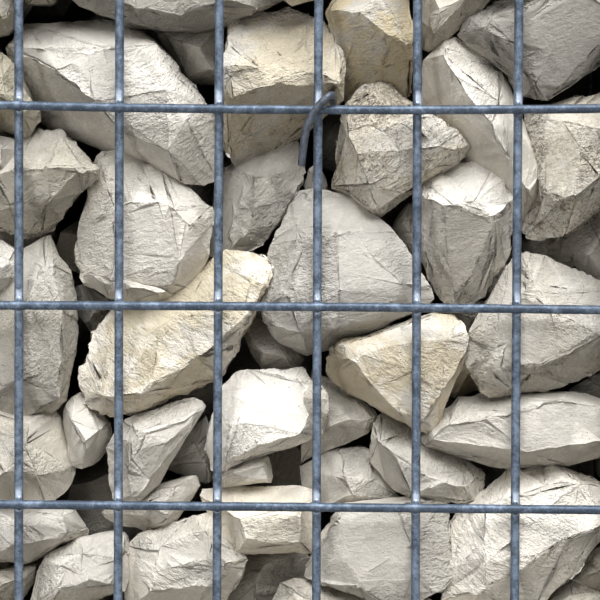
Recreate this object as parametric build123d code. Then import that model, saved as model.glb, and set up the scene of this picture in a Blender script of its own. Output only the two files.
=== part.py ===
from build123d import *
import os

# Gabion wall: two courses of two welded mesh baskets, filled with broken limestone.
# All sizes are in millimetres. X runs along the wall, Y from the front to the back, Z up.
# The origin is on the ground, under the middle of the wall.

# Basket, measured between the centrelines of its edge wires
BAY_LENGTH = 500.0
COURSE_HEIGHT = 500.0
WALL_DEPTH = 300.0
BAY_NAMES = ("left", "right")
COURSE_NAMES = ("lower", "upper")

# Welded mesh: the faces that show are 50 by 100, the floors and partitions are 100 by 100
WIRE = 4.5
FINE_PITCH = 50.0
WIDE_PITCH = 100.0

# Clearance between neighbouring pieces that are laced or rest against each other
SEAT = 0.3

# Spacer tie: a rod through the stone from face to face, with a hook over the mesh at each end
TIE_WIRE = 4.0
TIE_SIDES = 6
TIE_BESIDE = 7.5
# The upright and the bar that each tie hooks over, counted from the left and from below
TIE_CROSSINGS = ((3, 3), (7, 3))
HOOK_ROUNDING = 4.0
HOOK_CROSSING = 4.5
HOOK_DROP = 7.0
TIP_ASIDE = 8.5
TIP_DROP = 30.0
TIP_INWARD = 6.0

# Worked out from the sizes above
PANEL_THICKNESS = 2 * WIRE
BAY_STEP = BAY_LENGTH + WIRE + SEAT
STAND_HEIGHT = COURSE_HEIGHT + WIRE
COURSE_STEP = PANEL_THICKNESS + SEAT + STAND_HEIGHT + SEAT
END_DEPTH = WALL_DEPTH - 2 * (WIRE + SEAT)
FACE_INSIDE = WALL_DEPTH / 2 - WIRE / 2 - SEAT
HOOK_PLANE = WALL_DEPTH / 2 + 1.5 * WIRE + SEAT + TIE_WIRE / 2


def wire_places(span, pitch):
    """Places of the wires across a span: whole pitches in the middle, and one wire on each edge."""
    cells = max(1, round(span / pitch))
    inner = [(i - cells / 2) * pitch for i in range(1, cells)]
    return [-span / 2, *inner, span / 2]


def mesh_panel(width, height, upright_pitch, bar_pitch):
    """A welded panel, centred on the origin: uprights behind the XZ plane, cross bars in front of it.

    Each bar lies on the uprights and is welded to every one, so the panel is one solid.
    """
    upright = Box(WIRE, WIRE, height + WIRE)
    bar = Box(width + WIRE, WIRE, WIRE)
    uprights = [Pos(x, WIRE / 2, 0) * upright for x in wire_places(width, upright_pitch)]
    bars = [Pos(0, -WIRE / 2, z) * bar for z in wire_places(height, bar_pitch)]
    return uprights[0].fuse(*uprights[1:], *bars)


def bay_centre(bay):
    """X of the middle of a bay, counted from the left."""
    return (bay - (len(BAY_NAMES) - 1) / 2) * BAY_STEP


def course_floor(course):
    """Z of the underside of the mesh floor that a course stands on."""
    return course * COURSE_STEP


def stand_centre(course):
    """Z of the middle of the standing panels of a course."""
    return course_floor(course) + PANEL_THICKNESS + SEAT + STAND_HEIGHT / 2


def level_panel(width, depth, cross_pitch, long_pitch):
    """A panel laid flat, its underside at Z 0: cross wires below, long wires on top of them."""
    return Pos(0, 0, WIRE) * Rot(X=-90) * mesh_panel(width, depth, cross_pitch, long_pitch)


def face_meshes():
    """Front and back panels, with their cross bars outside."""
    panel = mesh_panel(BAY_LENGTH, COURSE_HEIGHT, FINE_PITCH, 2 * FINE_PITCH)
    weld_plane = WALL_DEPTH / 2 + WIRE / 2
    pieces = {}
    for course, course_name in enumerate(COURSE_NAMES):
        for bay, bay_name in enumerate(BAY_NAMES):
            place = f"{course_name}_{bay_name}"
            centre = Pos(bay_centre(bay), 0, stand_centre(course))
            pieces[f"front_mesh_{place}"] = centre * Pos(0, -weld_plane, 0) * panel
            pieces[f"back_mesh_{place}"] = centre * Rot(Z=180) * Pos(0, -weld_plane, 0) * panel
    return pieces


def end_meshes():
    """The panels that close the two ends of the wall, between the front and back panels."""
    panel = mesh_panel(END_DEPTH, COURSE_HEIGHT, FINE_PITCH, 2 * FINE_PITCH)
    edge_wire = bay_centre(len(BAY_NAMES) - 1) + BAY_LENGTH / 2
    pieces = {}
    for course, course_name in enumerate(COURSE_NAMES):
        for bay_name, turn, side in ((BAY_NAMES[0], -90, -1), (BAY_NAMES[-1], 90, 1)):
            place = Pos(side * (edge_wire + WIRE / 2), 0, stand_centre(course))
            pieces[f"end_mesh_{course_name}_{bay_name}"] = place * Rot(Z=turn) * panel
    return pieces


def partition_meshes():
    """The panel that two neighbouring baskets share, behind the joint between their faces."""
    panel = mesh_panel(END_DEPTH, COURSE_HEIGHT, WIDE_PITCH, WIDE_PITCH)
    joint = (bay_centre(0) + bay_centre(1)) / 2
    pieces = {}
    for course, course_name in enumerate(COURSE_NAMES):
        place = Pos(joint + WIRE / 2, 0, stand_centre(course))
        pieces[f"partition_mesh_{course_name}"] = place * Rot(Z=90) * panel
    return pieces


def level_meshes():
    """Base under the wall, the floor between the courses, and the lid on top."""
    floor = level_panel(BAY_LENGTH, WALL_DEPTH, WIDE_PITCH, WIDE_PITCH)
    lid = level_panel(BAY_LENGTH, WALL_DEPTH, FINE_PITCH, 2 * FINE_PITCH)
    pieces = {}
    for bay, bay_name in enumerate(BAY_NAMES):
        x = bay_centre(bay)
        pieces[f"base_mesh_{bay_name}"] = Pos(x, 0, course_floor(0)) * floor
        pieces[f"floor_mesh_upper_{bay_name}"] = Pos(x, 0, course_floor(1)) * floor
        pieces[f"lid_mesh_{bay_name}"] = Pos(x, 0, course_floor(2)) * lid
    return pieces


def tie_places(bay, course):
    """X and Z of the rods of the spacer ties of one basket, beside an upright and over a bar."""
    uprights = wire_places(BAY_LENGTH, FINE_PITCH)
    bars = wire_places(COURSE_HEIGHT, 2 * FINE_PITCH)
    above_bar = stand_centre(course) + WIRE / 2 + SEAT + TIE_WIRE / 2
    beside_upright = bay_centre(bay) + TIE_BESIDE
    return [(beside_upright + uprights[u], above_bar + bars[b]) for u, b in TIE_CROSSINGS]


def stone_fills():
    """The stone in each basket as one mass, with a way through it for each spacer tie."""
    left_inside = BAY_LENGTH / 2 - WIRE / 2 - SEAT
    joint_half = BAY_STEP / 2 - WIRE / 2 - SEAT
    height = STAND_HEIGHT
    way = TIE_WIRE + 2 * SEAT
    pieces = {}
    for course, course_name in enumerate(COURSE_NAMES):
        for bay, bay_name in enumerate(BAY_NAMES):
            low_x = -left_inside if bay == 0 else -joint_half + WIRE
            high_x = joint_half if bay == 0 else left_inside
            length = high_x - low_x
            x = bay_centre(bay) + (low_x + high_x) / 2
            stone = Pos(x, 0, stand_centre(course)) * Box(length, 2 * FACE_INSIDE, height)
            for tie_x, tie_z in tie_places(bay, course):
                stone -= Pos(tie_x, 0, tie_z) * Box(way, 2 * WALL_DEPTH, way)
            pieces[f"stone_fill_{course_name}_{bay_name}"] = stone
    return pieces


def hook_route():
    """Points of one hook from the rod outwards, as X, distance from the wall's middle, and Z.

    They are measured from the rod's centreline. The wire comes out beside an upright, turns down
    across the crossing of upright and bar, and its tip hangs on the upright's other side.
    """
    crossing_x = -TIE_BESIDE - HOOK_CROSSING
    tip_x = -TIE_BESIDE - TIP_ASIDE
    drop_from_rod = WIRE / 2 + SEAT + TIE_WIRE / 2
    return [
        (0, HOOK_PLANE - HOOK_ROUNDING, 0),
        (-HOOK_ROUNDING / 2, HOOK_PLANE, 0),
        (crossing_x, HOOK_PLANE, -drop_from_rod - HOOK_DROP),
        (tip_x, HOOK_PLANE - TIP_INWARD, -drop_from_rod - TIP_DROP),
    ]


def spacer_tie():
    """One tie about its rod's middle: a hook at the front, the rod, and a hook at the back."""
    outward = hook_route()
    front = [(x, -y, z) for x, y, z in reversed(outward)]
    path = Polyline(*front, *outward)
    section = Plane(path @ 0, z_dir=path % 0) * RegularPolygon(TIE_WIRE / 2, TIE_SIDES)
    return sweep(section, path, transition=Transition.RIGHT)


def spacer_ties():
    tie = spacer_tie()
    pieces = {}
    for course, course_name in enumerate(COURSE_NAMES):
        for bay, bay_name in enumerate(BAY_NAMES):
            for number, (x, z) in enumerate(tie_places(bay, course), start=1):
                pieces[f"spacer_tie_{course_name}_{bay_name}_{number}"] = Pos(x, 0, z) * tie
    return pieces


def gabion_wall():
    """Every piece of the wall, by name."""
    return {
        **face_meshes(),
        **end_meshes(),
        **partition_meshes(),
        **level_meshes(),
        **stone_fills(),
        **spacer_ties(),
    }


os.makedirs("parts", exist_ok=True)
for name, piece in gabion_wall().items():
    export_step(piece, f"parts/{name}.step")
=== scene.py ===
# %% [markdown]
# # A gabion wall, seen close up
#
# A gabion is a basket of welded wire mesh that is filled with broken stone. The solids are already
# made: this script loads them as a fixed frame, and adds round galvanised wires, hooked ties and
# the limestone itself. Each step says what the real thing is, how it could be made here, and why
# one way was chosen.

import math
import random
from dataclasses import dataclass

import bmesh
import bpy
from mathutils import Matrix, Vector, noise


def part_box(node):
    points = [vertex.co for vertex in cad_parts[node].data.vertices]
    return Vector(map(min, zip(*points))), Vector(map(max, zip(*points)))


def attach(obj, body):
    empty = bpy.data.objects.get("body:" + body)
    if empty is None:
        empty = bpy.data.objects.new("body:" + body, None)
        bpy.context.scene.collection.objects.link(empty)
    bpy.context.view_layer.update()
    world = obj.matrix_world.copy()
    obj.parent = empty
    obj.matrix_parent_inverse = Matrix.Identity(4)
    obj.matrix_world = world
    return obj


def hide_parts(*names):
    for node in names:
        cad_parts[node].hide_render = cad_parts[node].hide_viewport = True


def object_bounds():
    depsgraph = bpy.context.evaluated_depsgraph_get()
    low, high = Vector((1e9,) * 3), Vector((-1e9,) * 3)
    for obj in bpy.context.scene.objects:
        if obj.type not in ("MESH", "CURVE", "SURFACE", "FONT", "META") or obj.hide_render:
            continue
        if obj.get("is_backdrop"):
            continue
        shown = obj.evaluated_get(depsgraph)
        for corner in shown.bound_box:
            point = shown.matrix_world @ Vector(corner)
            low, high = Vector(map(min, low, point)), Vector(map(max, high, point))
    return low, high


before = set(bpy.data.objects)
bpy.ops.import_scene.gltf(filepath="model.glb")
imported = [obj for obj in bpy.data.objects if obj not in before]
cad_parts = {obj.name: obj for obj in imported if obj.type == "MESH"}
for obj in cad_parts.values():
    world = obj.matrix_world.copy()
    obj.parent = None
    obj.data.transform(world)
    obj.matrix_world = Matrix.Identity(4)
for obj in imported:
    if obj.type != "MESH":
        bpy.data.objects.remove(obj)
cad_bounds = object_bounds()
MM = 0.001

# Vector noise starts from the clock unless it is given a seed
NOISE_SEED = 11
noise.seed_set(NOISE_SEED)
print("wall", [[round(value, 4) for value in corner] for corner in cad_bounds])

# %% [markdown]
# ## The camera first
#
# The view is a close look at about 300 mm of one face, nearly square on, from a little above and a
# little to the right. Stones and wires are placed by where they lie in that picture, so a helper
# turns a point of the 600 by 600 picture and a depth behind the mesh into a point of the wall. The
# other way would be to move stones about by eye, which takes far longer.

# %% Camera and the way from the picture to the wall
PICTURE = 600
VIEW_WIDTH = 301.2 * MM
CAMERA_DISTANCE = 800 * MM
CAMERA_ABOVE = math.radians(1.3)
CAMERA_RIGHT = math.radians(0.75)
CAMERA_ROLL = math.radians(0.32)
SENSOR = 36.0

WIRE = 4.5 * MM
front_low, front_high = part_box("front_mesh_upper_left")
FACE_Y = front_high[1]
UPRIGHT_Y = FACE_Y - WIRE / 2
VIEW_CENTRE = Vector((front_low[0] + 343.45 * MM, UPRIGHT_Y, front_low[2] + 205.6 * MM))


def camera_axes():
    """Right, up and forward of the camera, and its place."""
    away = Vector((
        math.sin(CAMERA_RIGHT) * math.cos(CAMERA_ABOVE),
        -math.cos(CAMERA_RIGHT) * math.cos(CAMERA_ABOVE),
        math.sin(CAMERA_ABOVE),
    ))
    place = VIEW_CENTRE + away * CAMERA_DISTANCE
    forward = -away
    level = forward.cross(Vector((0, 0, 1))).normalized()
    upright = level.cross(forward)
    right = level * math.cos(CAMERA_ROLL) + upright * math.sin(CAMERA_ROLL)
    up = upright * math.cos(CAMERA_ROLL) - level * math.sin(CAMERA_ROLL)
    return right, up, forward, place


RIGHT, UP, FORWARD, CAMERA_PLACE = camera_axes()


def picture_point(across, down, y):
    """The point at this depth in the wall that the camera sees at this place in the picture."""
    half = VIEW_WIDTH / 2 / CAMERA_DISTANCE
    ray = FORWARD.copy()
    ray += RIGHT * (across / PICTURE * 2 - 1) * half
    ray += UP * (1 - down / PICTURE * 2) * half
    return CAMERA_PLACE + ray * ((y - CAMERA_PLACE.y) / ray.y)


camera_data = bpy.data.cameras.new("camera")
camera_data.sensor_width = SENSOR
camera_data.lens = SENSOR * CAMERA_DISTANCE / VIEW_WIDTH
camera_data.clip_end = 50
camera = bpy.data.objects.new("camera", camera_data)
turn = Matrix((RIGHT, UP, -FORWARD)).transposed()
camera.matrix_world = Matrix.Translation(CAMERA_PLACE) @ turn.to_4x4()
bpy.context.scene.collection.objects.link(camera)
bpy.context.scene.camera = camera
print("camera lens", round(camera_data.lens, 1), "mm")

# %% [markdown]
# ## Sums for materials
#
# A material is a network of nodes, and most of it is sums: this mask times that noise, one minus
# the other. Written as nodes they are hard to read. One small class wraps a node's output, so that
# Python's own signs add the Math nodes. The sky is built from the same classes.

# %% Sums for materials
class Value:
    """An output of a node that can be used in sums."""

    def __init__(self, finish, socket):
        self.finish = finish
        self.socket = socket

    def maths(self, operation, first, second=0.0):
        """One Math node, on two numbers or on the first alone."""
        sockets = {0: first, 1: second}
        return self.finish.node("ShaderNodeMath", {"operation": operation}, sockets)

    def __add__(self, other):
        return self.maths("ADD", self, other)

    def __radd__(self, other):
        return self.maths("ADD", other, self)

    def __sub__(self, other):
        return self.maths("SUBTRACT", self, other)

    def __rsub__(self, other):
        return self.maths("SUBTRACT", other, self)

    def __mul__(self, other):
        return self.maths("MULTIPLY", self, other)

    def __rmul__(self, other):
        return self.maths("MULTIPLY", other, self)

    def step(self, low, high):
        """Rises smoothly from 0 at the low value to 1 at the high one, or falls if low is higher."""
        settings = {"interpolation_type": "SMOOTHSTEP"}
        if low > high:
            return 1 - self.step(high, low)
        return self.finish.node("ShaderNodeMapRange", settings, {0: self, 1: low, 2: high})


class Finish:
    """The nodes of one material or sky, with one method that adds a node to them."""

    def __init__(self, owner, shader="Principled BSDF"):
        owner.use_nodes = True
        self.owner = owner
        self.tree = owner.node_tree
        self.shader = self.tree.nodes[shader]

    def feed(self, socket, value):
        """Links a value to a socket, or sets the socket to a number or colour."""
        if isinstance(value, Value):
            self.tree.links.new(value.socket, socket)
        elif hasattr(socket.default_value, "__len__") and len(value) < len(socket.default_value):
            socket.default_value = (*value, 1.0)
        else:
            socket.default_value = value

    def node(self, kind, settings=None, sockets=None, output=0):
        """Adds a node, first its settings and then its sockets, and gives one of its outputs."""
        new = self.tree.nodes.new(kind)
        for name, value in (settings or {}).items():
            setattr(new, name, value)
        for key, value in (sockets or {}).items():
            self.feed(new.inputs[key], value)
        return Value(self, new.outputs[output])

    def mix(self, factor, first, second, blend="MIX"):
        """A mix of two colours."""
        settings = {"data_type": "RGBA", "blend_type": blend}
        return self.node("ShaderNodeMix", settings, {0: factor, 6: first, 7: second}, output=2)

    def stretch(self, vector, across, along, up):
        """A vector with its three parts scaled."""
        sockets = {0: vector, 1: (across, along, up)}
        return self.node("ShaderNodeVectorMath", {"operation": "MULTIPLY"}, sockets)

    def clouds(self, vector, scale, detail, roughness=0.55):
        """Soft noise from 0 to 1."""
        sockets = {"Vector": vector, "Scale": scale, "Detail": detail, "Roughness": roughness}
        return self.node("ShaderNodeTexNoise", {}, sockets)

    def bump(self, strength, distance, height):
        """A normal that follows a height."""
        sockets = {"Strength": strength, "Distance": distance, "Height": height}
        return self.node("ShaderNodeBump", {}, sockets)

    def seen(self):
        """1 for rays from the camera, a mirror or glass, and 0 for light that falls on things."""
        path = self.node("ShaderNodeLightPath").socket.node.outputs
        seen = Value(self, path["Is Camera Ray"])
        for ray in ("Is Glossy Ray", "Is Transmission Ray"):
            seen = seen.maths("MAXIMUM", seen, Value(self, path[ray]))
        return seen

    def surface(self, **values):
        """Feeds the shader's own sockets, named with _ for a space."""
        for name, value in values.items():
            self.feed(self.shader.inputs[name.replace("_", " ")], value)
        return self.owner


print("sums ready")

# %% [markdown]
# ## Light
#
# A wall outdoors is lit by the whole sky: soft light from above and from the front, and dark gaps
# where no sky reaches. One large lamp high in front and an even, weaker light from all round
# give that, and a pale floor sends some back from below. A narrow strip of light at the left puts a
# thin highlight along the uprights, and a weak lamp behind shows the back.

# %% Light
SKY_COLOUR = (1.0, 0.98, 0.95)
SKY_STRENGTH = 0.045
SEEN_SKY = 0.66

# Each lamp: name, place and aim in metres, its two sides in metres, and power in watts
LAMPS = (
    ("sky lamp", (0.35, -2.65, 5.1), (-0.1, -0.05, 0.6), (4.5, 4.5), 580.0),
    ("back lamp", (0.6, 2.4, 2.6), (0.0, 0.1, 0.5), (3.0, 3.0), 105.0),
    ("strip lamp", (-1.1, -2.0, 0.9), (-0.16, -0.15, 0.75), (0.16, 2.4), 9.0),
)


def add_lamp(name, place, aim, sides, power):
    """A flat lamp that shines from its place towards its aim."""
    lamp = bpy.data.lights.new(name, "AREA")
    lamp.shape = "RECTANGLE"
    lamp.size, lamp.size_y = sides
    lamp.energy = power
    lamp_object = bpy.data.objects.new(name, lamp)
    lamp_object.location = place
    direction = Vector(aim) - Vector(place)
    lamp_object.rotation_euler = direction.to_track_quat("-Z", "Y").to_euler()
    bpy.context.scene.collection.objects.link(lamp_object)


def even_sky():
    """A weak even light that camera, mirror and glass rays see as a pale background."""
    finish = Finish(bpy.data.worlds.new("even sky"), "Background")
    strength = finish.seen() * (SEEN_SKY - SKY_STRENGTH) + SKY_STRENGTH
    return finish.surface(Color=SKY_COLOUR, Strength=strength)


for lamp_facts in LAMPS:
    add_lamp(*lamp_facts)
bpy.context.scene.world = even_sky()
bpy.context.scene.view_settings.view_transform = "Standard"
print(len(LAMPS), "lamps and a sky")

# %% [markdown]
# ## Limestone
#
# Broken limestone is pale and dull. Its colour drifts from grey to cream within a stone, fresh
# edges are lighter, thin bands of bedding run through it, a few faces are stained with ochre or
# speckled with dark lichen, and pinholes dot the smooth faces. Deep in the basket the colour is
# painted nearly black, as painted shade. Each stone carries its own attributes: grain is a place in
# the stone's own frame, so that no pattern runs from one stone into the next, look says how warm,
# bright (partly painted shade or light), stained and speckled it is, and a third says where its
# edges are, its painted shade by depth, how green it is and how rough each of its faces is.

# %% Limestone material
def flake_steps(finish, vector, scale, levels):
    """Thin layers broken back one behind the other: a slow noise cut into steep steps."""
    slow = finish.clouds(vector, scale, 1, 0.5) * levels
    part = slow.maths("FRACT", slow)
    return (slow - part + part.step(0.26, 0.70)) * (1 / levels)


def scallops(finish, vector, scale):
    """Shallow bowls that meet in sharp ridges, as where flakes were struck off."""
    sockets = {"Vector": vector, "Scale": scale, "Randomness": 1.0}
    return finish.node("ShaderNodeTexVoronoi", {"feature": "F1"}, sockets)


def creases(finish, vector):
    """How far a noise is from its middle value, which is 0 along thin wandering lines."""
    centred = finish.clouds(vector, 1.0, 2, 0.6) - 0.5
    return centred.maths("ABSOLUTE", centred)


def four_parts(finish, attribute):
    """The four numbers that a colour attribute carries."""
    colour = finish.node("ShaderNodeAttribute", {"attribute_name": attribute})
    split = finish.node("ShaderNodeSeparateColor", {}, {0: colour}).socket.node.outputs
    return [Value(finish, part) for part in (*split, colour.socket.node.outputs["Alpha"])]


def limestone():
    """Pale broken stone that reads the grain, look and wear of each stone."""
    finish = Finish(bpy.data.materials.new("broken limestone"))
    grain = finish.node("ShaderNodeAttribute", {"attribute_name": "grain"}, output=1)
    warmth, brightness, stain, speckle = four_parts(finish, "look")
    edge, shade_by_depth, green, facet = four_parts(finish, "wear")

    drift = finish.clouds(grain, 32, 1)
    mottle = finish.clouds(grain, 150, 3, 0.65)
    grit = finish.clouds(grain, 900, 1, 0.7)
    wobble = finish.node(
        "ShaderNodeTexNoise", {}, {"Vector": grain, "Scale": 80.0, "Detail": 1.0}, output=1)
    warped = finish.node(
        "ShaderNodeVectorMath", {"operation": "MULTIPLY_ADD"},
        {0: wobble, 1: (0.005, 0.005, 0.005), 2: grain},
    )
    bands = finish.clouds(finish.stretch(warped, 28, 28, 330), 1.0, 2, 0.6)
    rough_part = (facet * 0.75 + drift * 0.5 + edge * 0.25).step(0.35, 0.85)
    scars = scallops(finish, warped, 120)
    steps = flake_steps(finish, finish.stretch(warped, 0.8, 0.8, 1.5), 40, 7)
    ripples = finish.clouds(finish.stretch(warped, 80, 80, 330), 1.0, 3, 0.65)
    peel = finish.clouds(finish.stretch(warped, 240, 240, 420), 1.0, 3, 0.75)

    pale = finish.mix(warmth * 0.75 + drift * 0.4, (0.64, 0.618, 0.578), (0.68, 0.635, 0.55))
    veins = creases(finish, finish.stretch(warped, 100, 100, 190)).step(0.035, 0.0)
    scuffs = veins * mottle.step(0.42, 0.62)
    shade = 0.68 + mottle * 0.22 + bands * 0.10 + grit * 0.16 + edge * 0.40 + scuffs * 0.18
    colour = finish.mix(1.0, pale, brightness * shade, "MULTIPLY")

    ochre_mask = (drift + mottle * 0.6 + bands * 0.2).step(0.74, 0.98) * stain
    colour = finish.mix(ochre_mask * 0.75, colour, (0.56, 0.455, 0.26))
    green_mask = (drift * 0.8 + mottle * 0.5).step(0.5, 0.85) * green
    colour = finish.mix(green_mask * 0.6, colour, (0.26, 0.26, 0.14))

    patches = (finish.clouds(grain, 520, 3, 0.8) + drift * 0.3).step(0.65, 0.74)
    lichen = patches * speckle * (facet * 0.65 + 0.35)
    colour = finish.mix(lichen * 0.75, colour, (0.15, 0.125, 0.095))
    spots = finish.node("ShaderNodeTexVoronoi", {}, {"Vector": grain, "Scale": 420.0})
    holes = spots.step(0.17, 0.10) * finish.clouds(grain, 90, 2).step(0.58, 0.64)
    colour = finish.mix(holes * 0.75, colour, (0.07, 0.06, 0.05))

    # Painted shade: stones deep behind the mesh are darkened nearly to black, so the gaps read dark
    colour = finish.mix(shade_by_depth * 0.93, colour, (0.055, 0.048, 0.038))

    hackle = creases(finish, finish.stretch(warped, 100, 100, 230))
    fracture = scars * 0.3 + ripples * 0.8 + peel * 1.4 - hackle * 0.6
    height = steps * 0.12 + fracture * (rough_part * 0.75 + 0.25) + mottle * 0.5 + bands * 0.15
    height = height + grit * (rough_part * 0.25 + 0.12)
    bump = finish.bump(1.0, 1.6 * MM, height)
    return finish.surface(Base_Color=colour, Roughness=0.92, Normal=bump, Specular_IOR_Level=0.25)


LIMESTONE = limestone()
print("limestone has", len(LIMESTONE.node_tree.nodes), "nodes")

# %% [markdown]
# ## Galvanised wire
#
# Zinc on drawn wire is a blue-grey metal that has dulled: broad soft highlights, a fine mottle of
# crystals, and smoother zinc at the welds, where a painted highlight, a pale colour, stands for the
# glint of the bent wire over and under each crossing. An attribute marks the few millimetres round
# each crossing, and lies below 0 on the outer side of the mesh, where the cross bars are painted
# darker as shade against the lamp above. The ties are older, darker wire.

# %% Galvanised wire materials
def galvanised(name, dark, light, roughness):
    """Dulled zinc between a dark and a light tone."""
    finish = Finish(bpy.data.materials.new(name))
    place = finish.node("ShaderNodeTexCoord", {}, output=3)
    weld = finish.node("ShaderNodeAttribute", {"attribute_name": "weld"}, output=2)
    spangle = finish.clouds(place, 420, 4, 0.7)
    patches = finish.clouds(place, 130, 4, 0.6)
    flecks = finish.clouds(place, 1300, 2, 0.6).step(0.58, 0.7)
    # The painted highlight near crossings and the painted shade of the bars lighten and darken the tone
    tone = (spangle * 0.8 + patches * 0.9 + weld * 0.28).step(0.6, 1.12)
    colour = finish.mix(tone, dark, light)
    colour = finish.mix(flecks * 0.3, colour, (0.36, 0.42, 0.53))
    # Painted highlight: pale blue colour, and smoother zinc, just round each weld
    weld_glint = (weld * 1.9 + spangle * 0.6).step(0.65, 1.25)
    colour = finish.mix(weld_glint * 0.85, colour, (0.62, 0.71, 0.86))
    rough = roughness + spangle * 0.16 - weld_glint * 0.1
    bump = finish.bump(0.5, 0.3 * MM, spangle + flecks)
    return finish.surface(
        Base_Color=colour, Metallic=0.45, Roughness=rough, Normal=bump, Specular_IOR_Level=0.3)


MESH_WIRE = galvanised("galvanised mesh wire", (0.051, 0.071, 0.103), (0.209, 0.267, 0.355), 0.36)
TIE_WIRE = galvanised("dull tie wire", (0.045, 0.054, 0.07), (0.12, 0.136, 0.165), 0.36)
print("mesh wire and tie wire ready")

# %% [markdown]
# ## The floor
#
# A plain pale plane is enough: it shows where the wall stands and takes its shadow. It glows only
# for rays that see it, so that it looks pale and throws no light of its own on the wall.

# %% Floor
FLOOR_HALF = 12


def pale_floor():
    """A floor that looks pale and sends back only a little light."""
    finish = Finish(bpy.data.materials.new("pale floor"))
    place = finish.node("ShaderNodeTexCoord", {}, output=3)
    tone = finish.clouds(place, 3, 3)
    pale = finish.mix(tone, (0.26, 0.26, 0.255), (0.28, 0.28, 0.275))
    seen = finish.seen()
    colour = finish.mix(seen, (0.165, 0.15, 0.13), pale)
    glow = finish.mix(seen, (0, 0, 0), (0.56, 0.56, 0.55))
    return finish.surface(Base_Color=colour, Roughness=0.8, Emission_Color=glow, Emission_Strength=1.0)


floor_shape = bmesh.new()
bmesh.ops.create_grid(floor_shape, x_segments=1, y_segments=1, size=FLOOR_HALF)
floor_mesh = bpy.data.meshes.new("floor")
floor_shape.to_mesh(floor_mesh)
floor_shape.free()
floor = bpy.data.objects.new("floor", floor_mesh)
floor_mesh.materials.append(pale_floor())
bpy.context.scene.collection.objects.link(floor)
floor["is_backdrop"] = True
print("floor at z 0")

# %% [markdown]
# ## Round wires
#
# The solids have square bars, which pack and collide well. A real mesh is round wire: uprights
# inside, cross bars outside, one spot weld at each crossing. A curve with a round bevel makes a
# tube along any path, and a point's radius can swell it, so a wire is one row of points. Rolled
# wire is never quite straight, so each point is moved by a fraction of a millimetre. In the panel
# that the camera sees, the bends follow the picture.

# %% Where the wires of a panel lie
FINE_PITCH = 50 * MM
WIDE_PITCH = 100 * MM

# How far the painted highlight reaches from a crossing up, down and aside, and the painted shade of the
# outer side
GLINT_UP = 12 * MM
GLINT_DOWN = 6 * MM
GLINT_ASIDE = 2.6 * MM
BAR_PAINTED_SHADE = 0.5


def wire_places(span, pitch):
    """Places of the wires across a span: whole pitches in the middle, and one wire on each edge."""
    cells = max(1, round(span / pitch))
    inner = [(i - cells / 2) * pitch for i in range(1, cells)]
    return [-span / 2, *inner, span / 2]


class Panel:
    """One mesh panel: its middle, the ways along its bars and uprights, and its outward way."""

    def __init__(self, node, along, up, out, upright_pitch, bar_pitch):
        low, high = (Vector(corner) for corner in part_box(node))
        self.node = node
        self.middle = (low + high) / 2
        self.along, self.up, self.out = Vector(along), Vector(up), Vector(out)
        size = high - low
        self.width = abs(size.dot(self.along)) - WIRE
        self.height = abs(size.dot(self.up)) - WIRE
        self.uprights = wire_places(self.width, upright_pitch)
        self.bars = wire_places(self.height, bar_pitch)

    def point(self, across, above, outward):
        """A point by its distances from the panel's middle."""
        place = self.middle + self.along * across + self.up * above
        return place + self.out * outward

    def weld_strength(self, place):
        """Painted highlight near a crossing, up to 1, lowered by painted shade on the outer side."""
        local = place - self.middle
        across = min(abs(local.dot(self.along) - x) for x in self.uprights)
        height = local.dot(self.up)
        above = min((height - z for z in self.bars), key=abs)
        reach = GLINT_UP if above > 0 else GLINT_DOWN
        far = max(across / GLINT_ASIDE, abs(above) / reach)
        strength = max(0.0, 1 - far) ** 1.2
        # The outer side, where the cross bars lie, is painted darker as shade against the lamp above
        inside = local.dot(self.out) < 0.3 * MM
        return strength if inside else strength * 0.3 - BAR_PAINTED_SHADE


def every_panel():
    """The panels of the wall, from the names of the nodes."""
    across, deep, high = (1, 0, 0), (0, 1, 0), (0, 0, 1)
    panels = []
    for node in sorted(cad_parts):
        kind = node.split("_mesh")[0]
        if kind in ("front", "back"):
            out = (0, -1 if kind == "front" else 1, 0)
            panels.append(Panel(node, across, high, out, FINE_PITCH, WIDE_PITCH))
        elif kind == "end":
            out = (-1 if node.endswith("left") else 1, 0, 0)
            panels.append(Panel(node, deep, high, out, FINE_PITCH, WIDE_PITCH))
        elif kind == "partition":
            panels.append(Panel(node, deep, high, across, WIDE_PITCH, WIDE_PITCH))
        elif kind == "lid":
            panels.append(Panel(node, across, deep, high, FINE_PITCH, WIDE_PITCH))
        elif kind in ("base", "floor"):
            panels.append(Panel(node, across, deep, high, WIDE_PITCH, WIDE_PITCH))
    return panels


PANELS = every_panel()
print(len(PANELS), "panels")

# %% [markdown]
# The wires in the picture bend a little. For each upright that shows, three numbers say how far
# across the picture it is at the top, middle and bottom. For each bar, they say how far down it is
# at the left, middle and right. A smooth curve through the three is enough for a stiff wire.

# %% Tubes along points
SEEN_PANEL = "front_mesh_upper_left"
UPRIGHTS_ACROSS = {
    4: (18.7, 18.9, 18.7), 5: (119.6, 119.0, 118.0), 6: (219.4, 218.2, 216.8),
    7: (318.7, 317.2, 316.3), 8: (417.7, 416.6, 415.4), 9: (519.0, 516.6, 514.7),
}
BARS_DOWN = {3: (105.0, 109.7, 108.5), 2: (305.4, 306.7, 310.0), 1: (504.3, 507.1, 509.9)}
PICTURE_STOPS = (0, 300, 600)


def bend(stops, values, where):
    """A smooth value by its size at three even stops, kept level beyond the outer ones."""
    where = min(max(where, stops[0]), stops[2])
    first, middle, last = values
    share = (where - stops[0]) / (stops[2] - stops[0])
    ends = first + (last - first) * share
    bulge = (middle - (first + last) / 2) * 4 * share * (1 - share)
    return ends + bulge


def sway(seed, distance, amount):
    """A slow, small wander along a wire."""
    return noise.noise(Vector((seed * 7.3, distance * 9.0, seed * 1.7))) * amount


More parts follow.
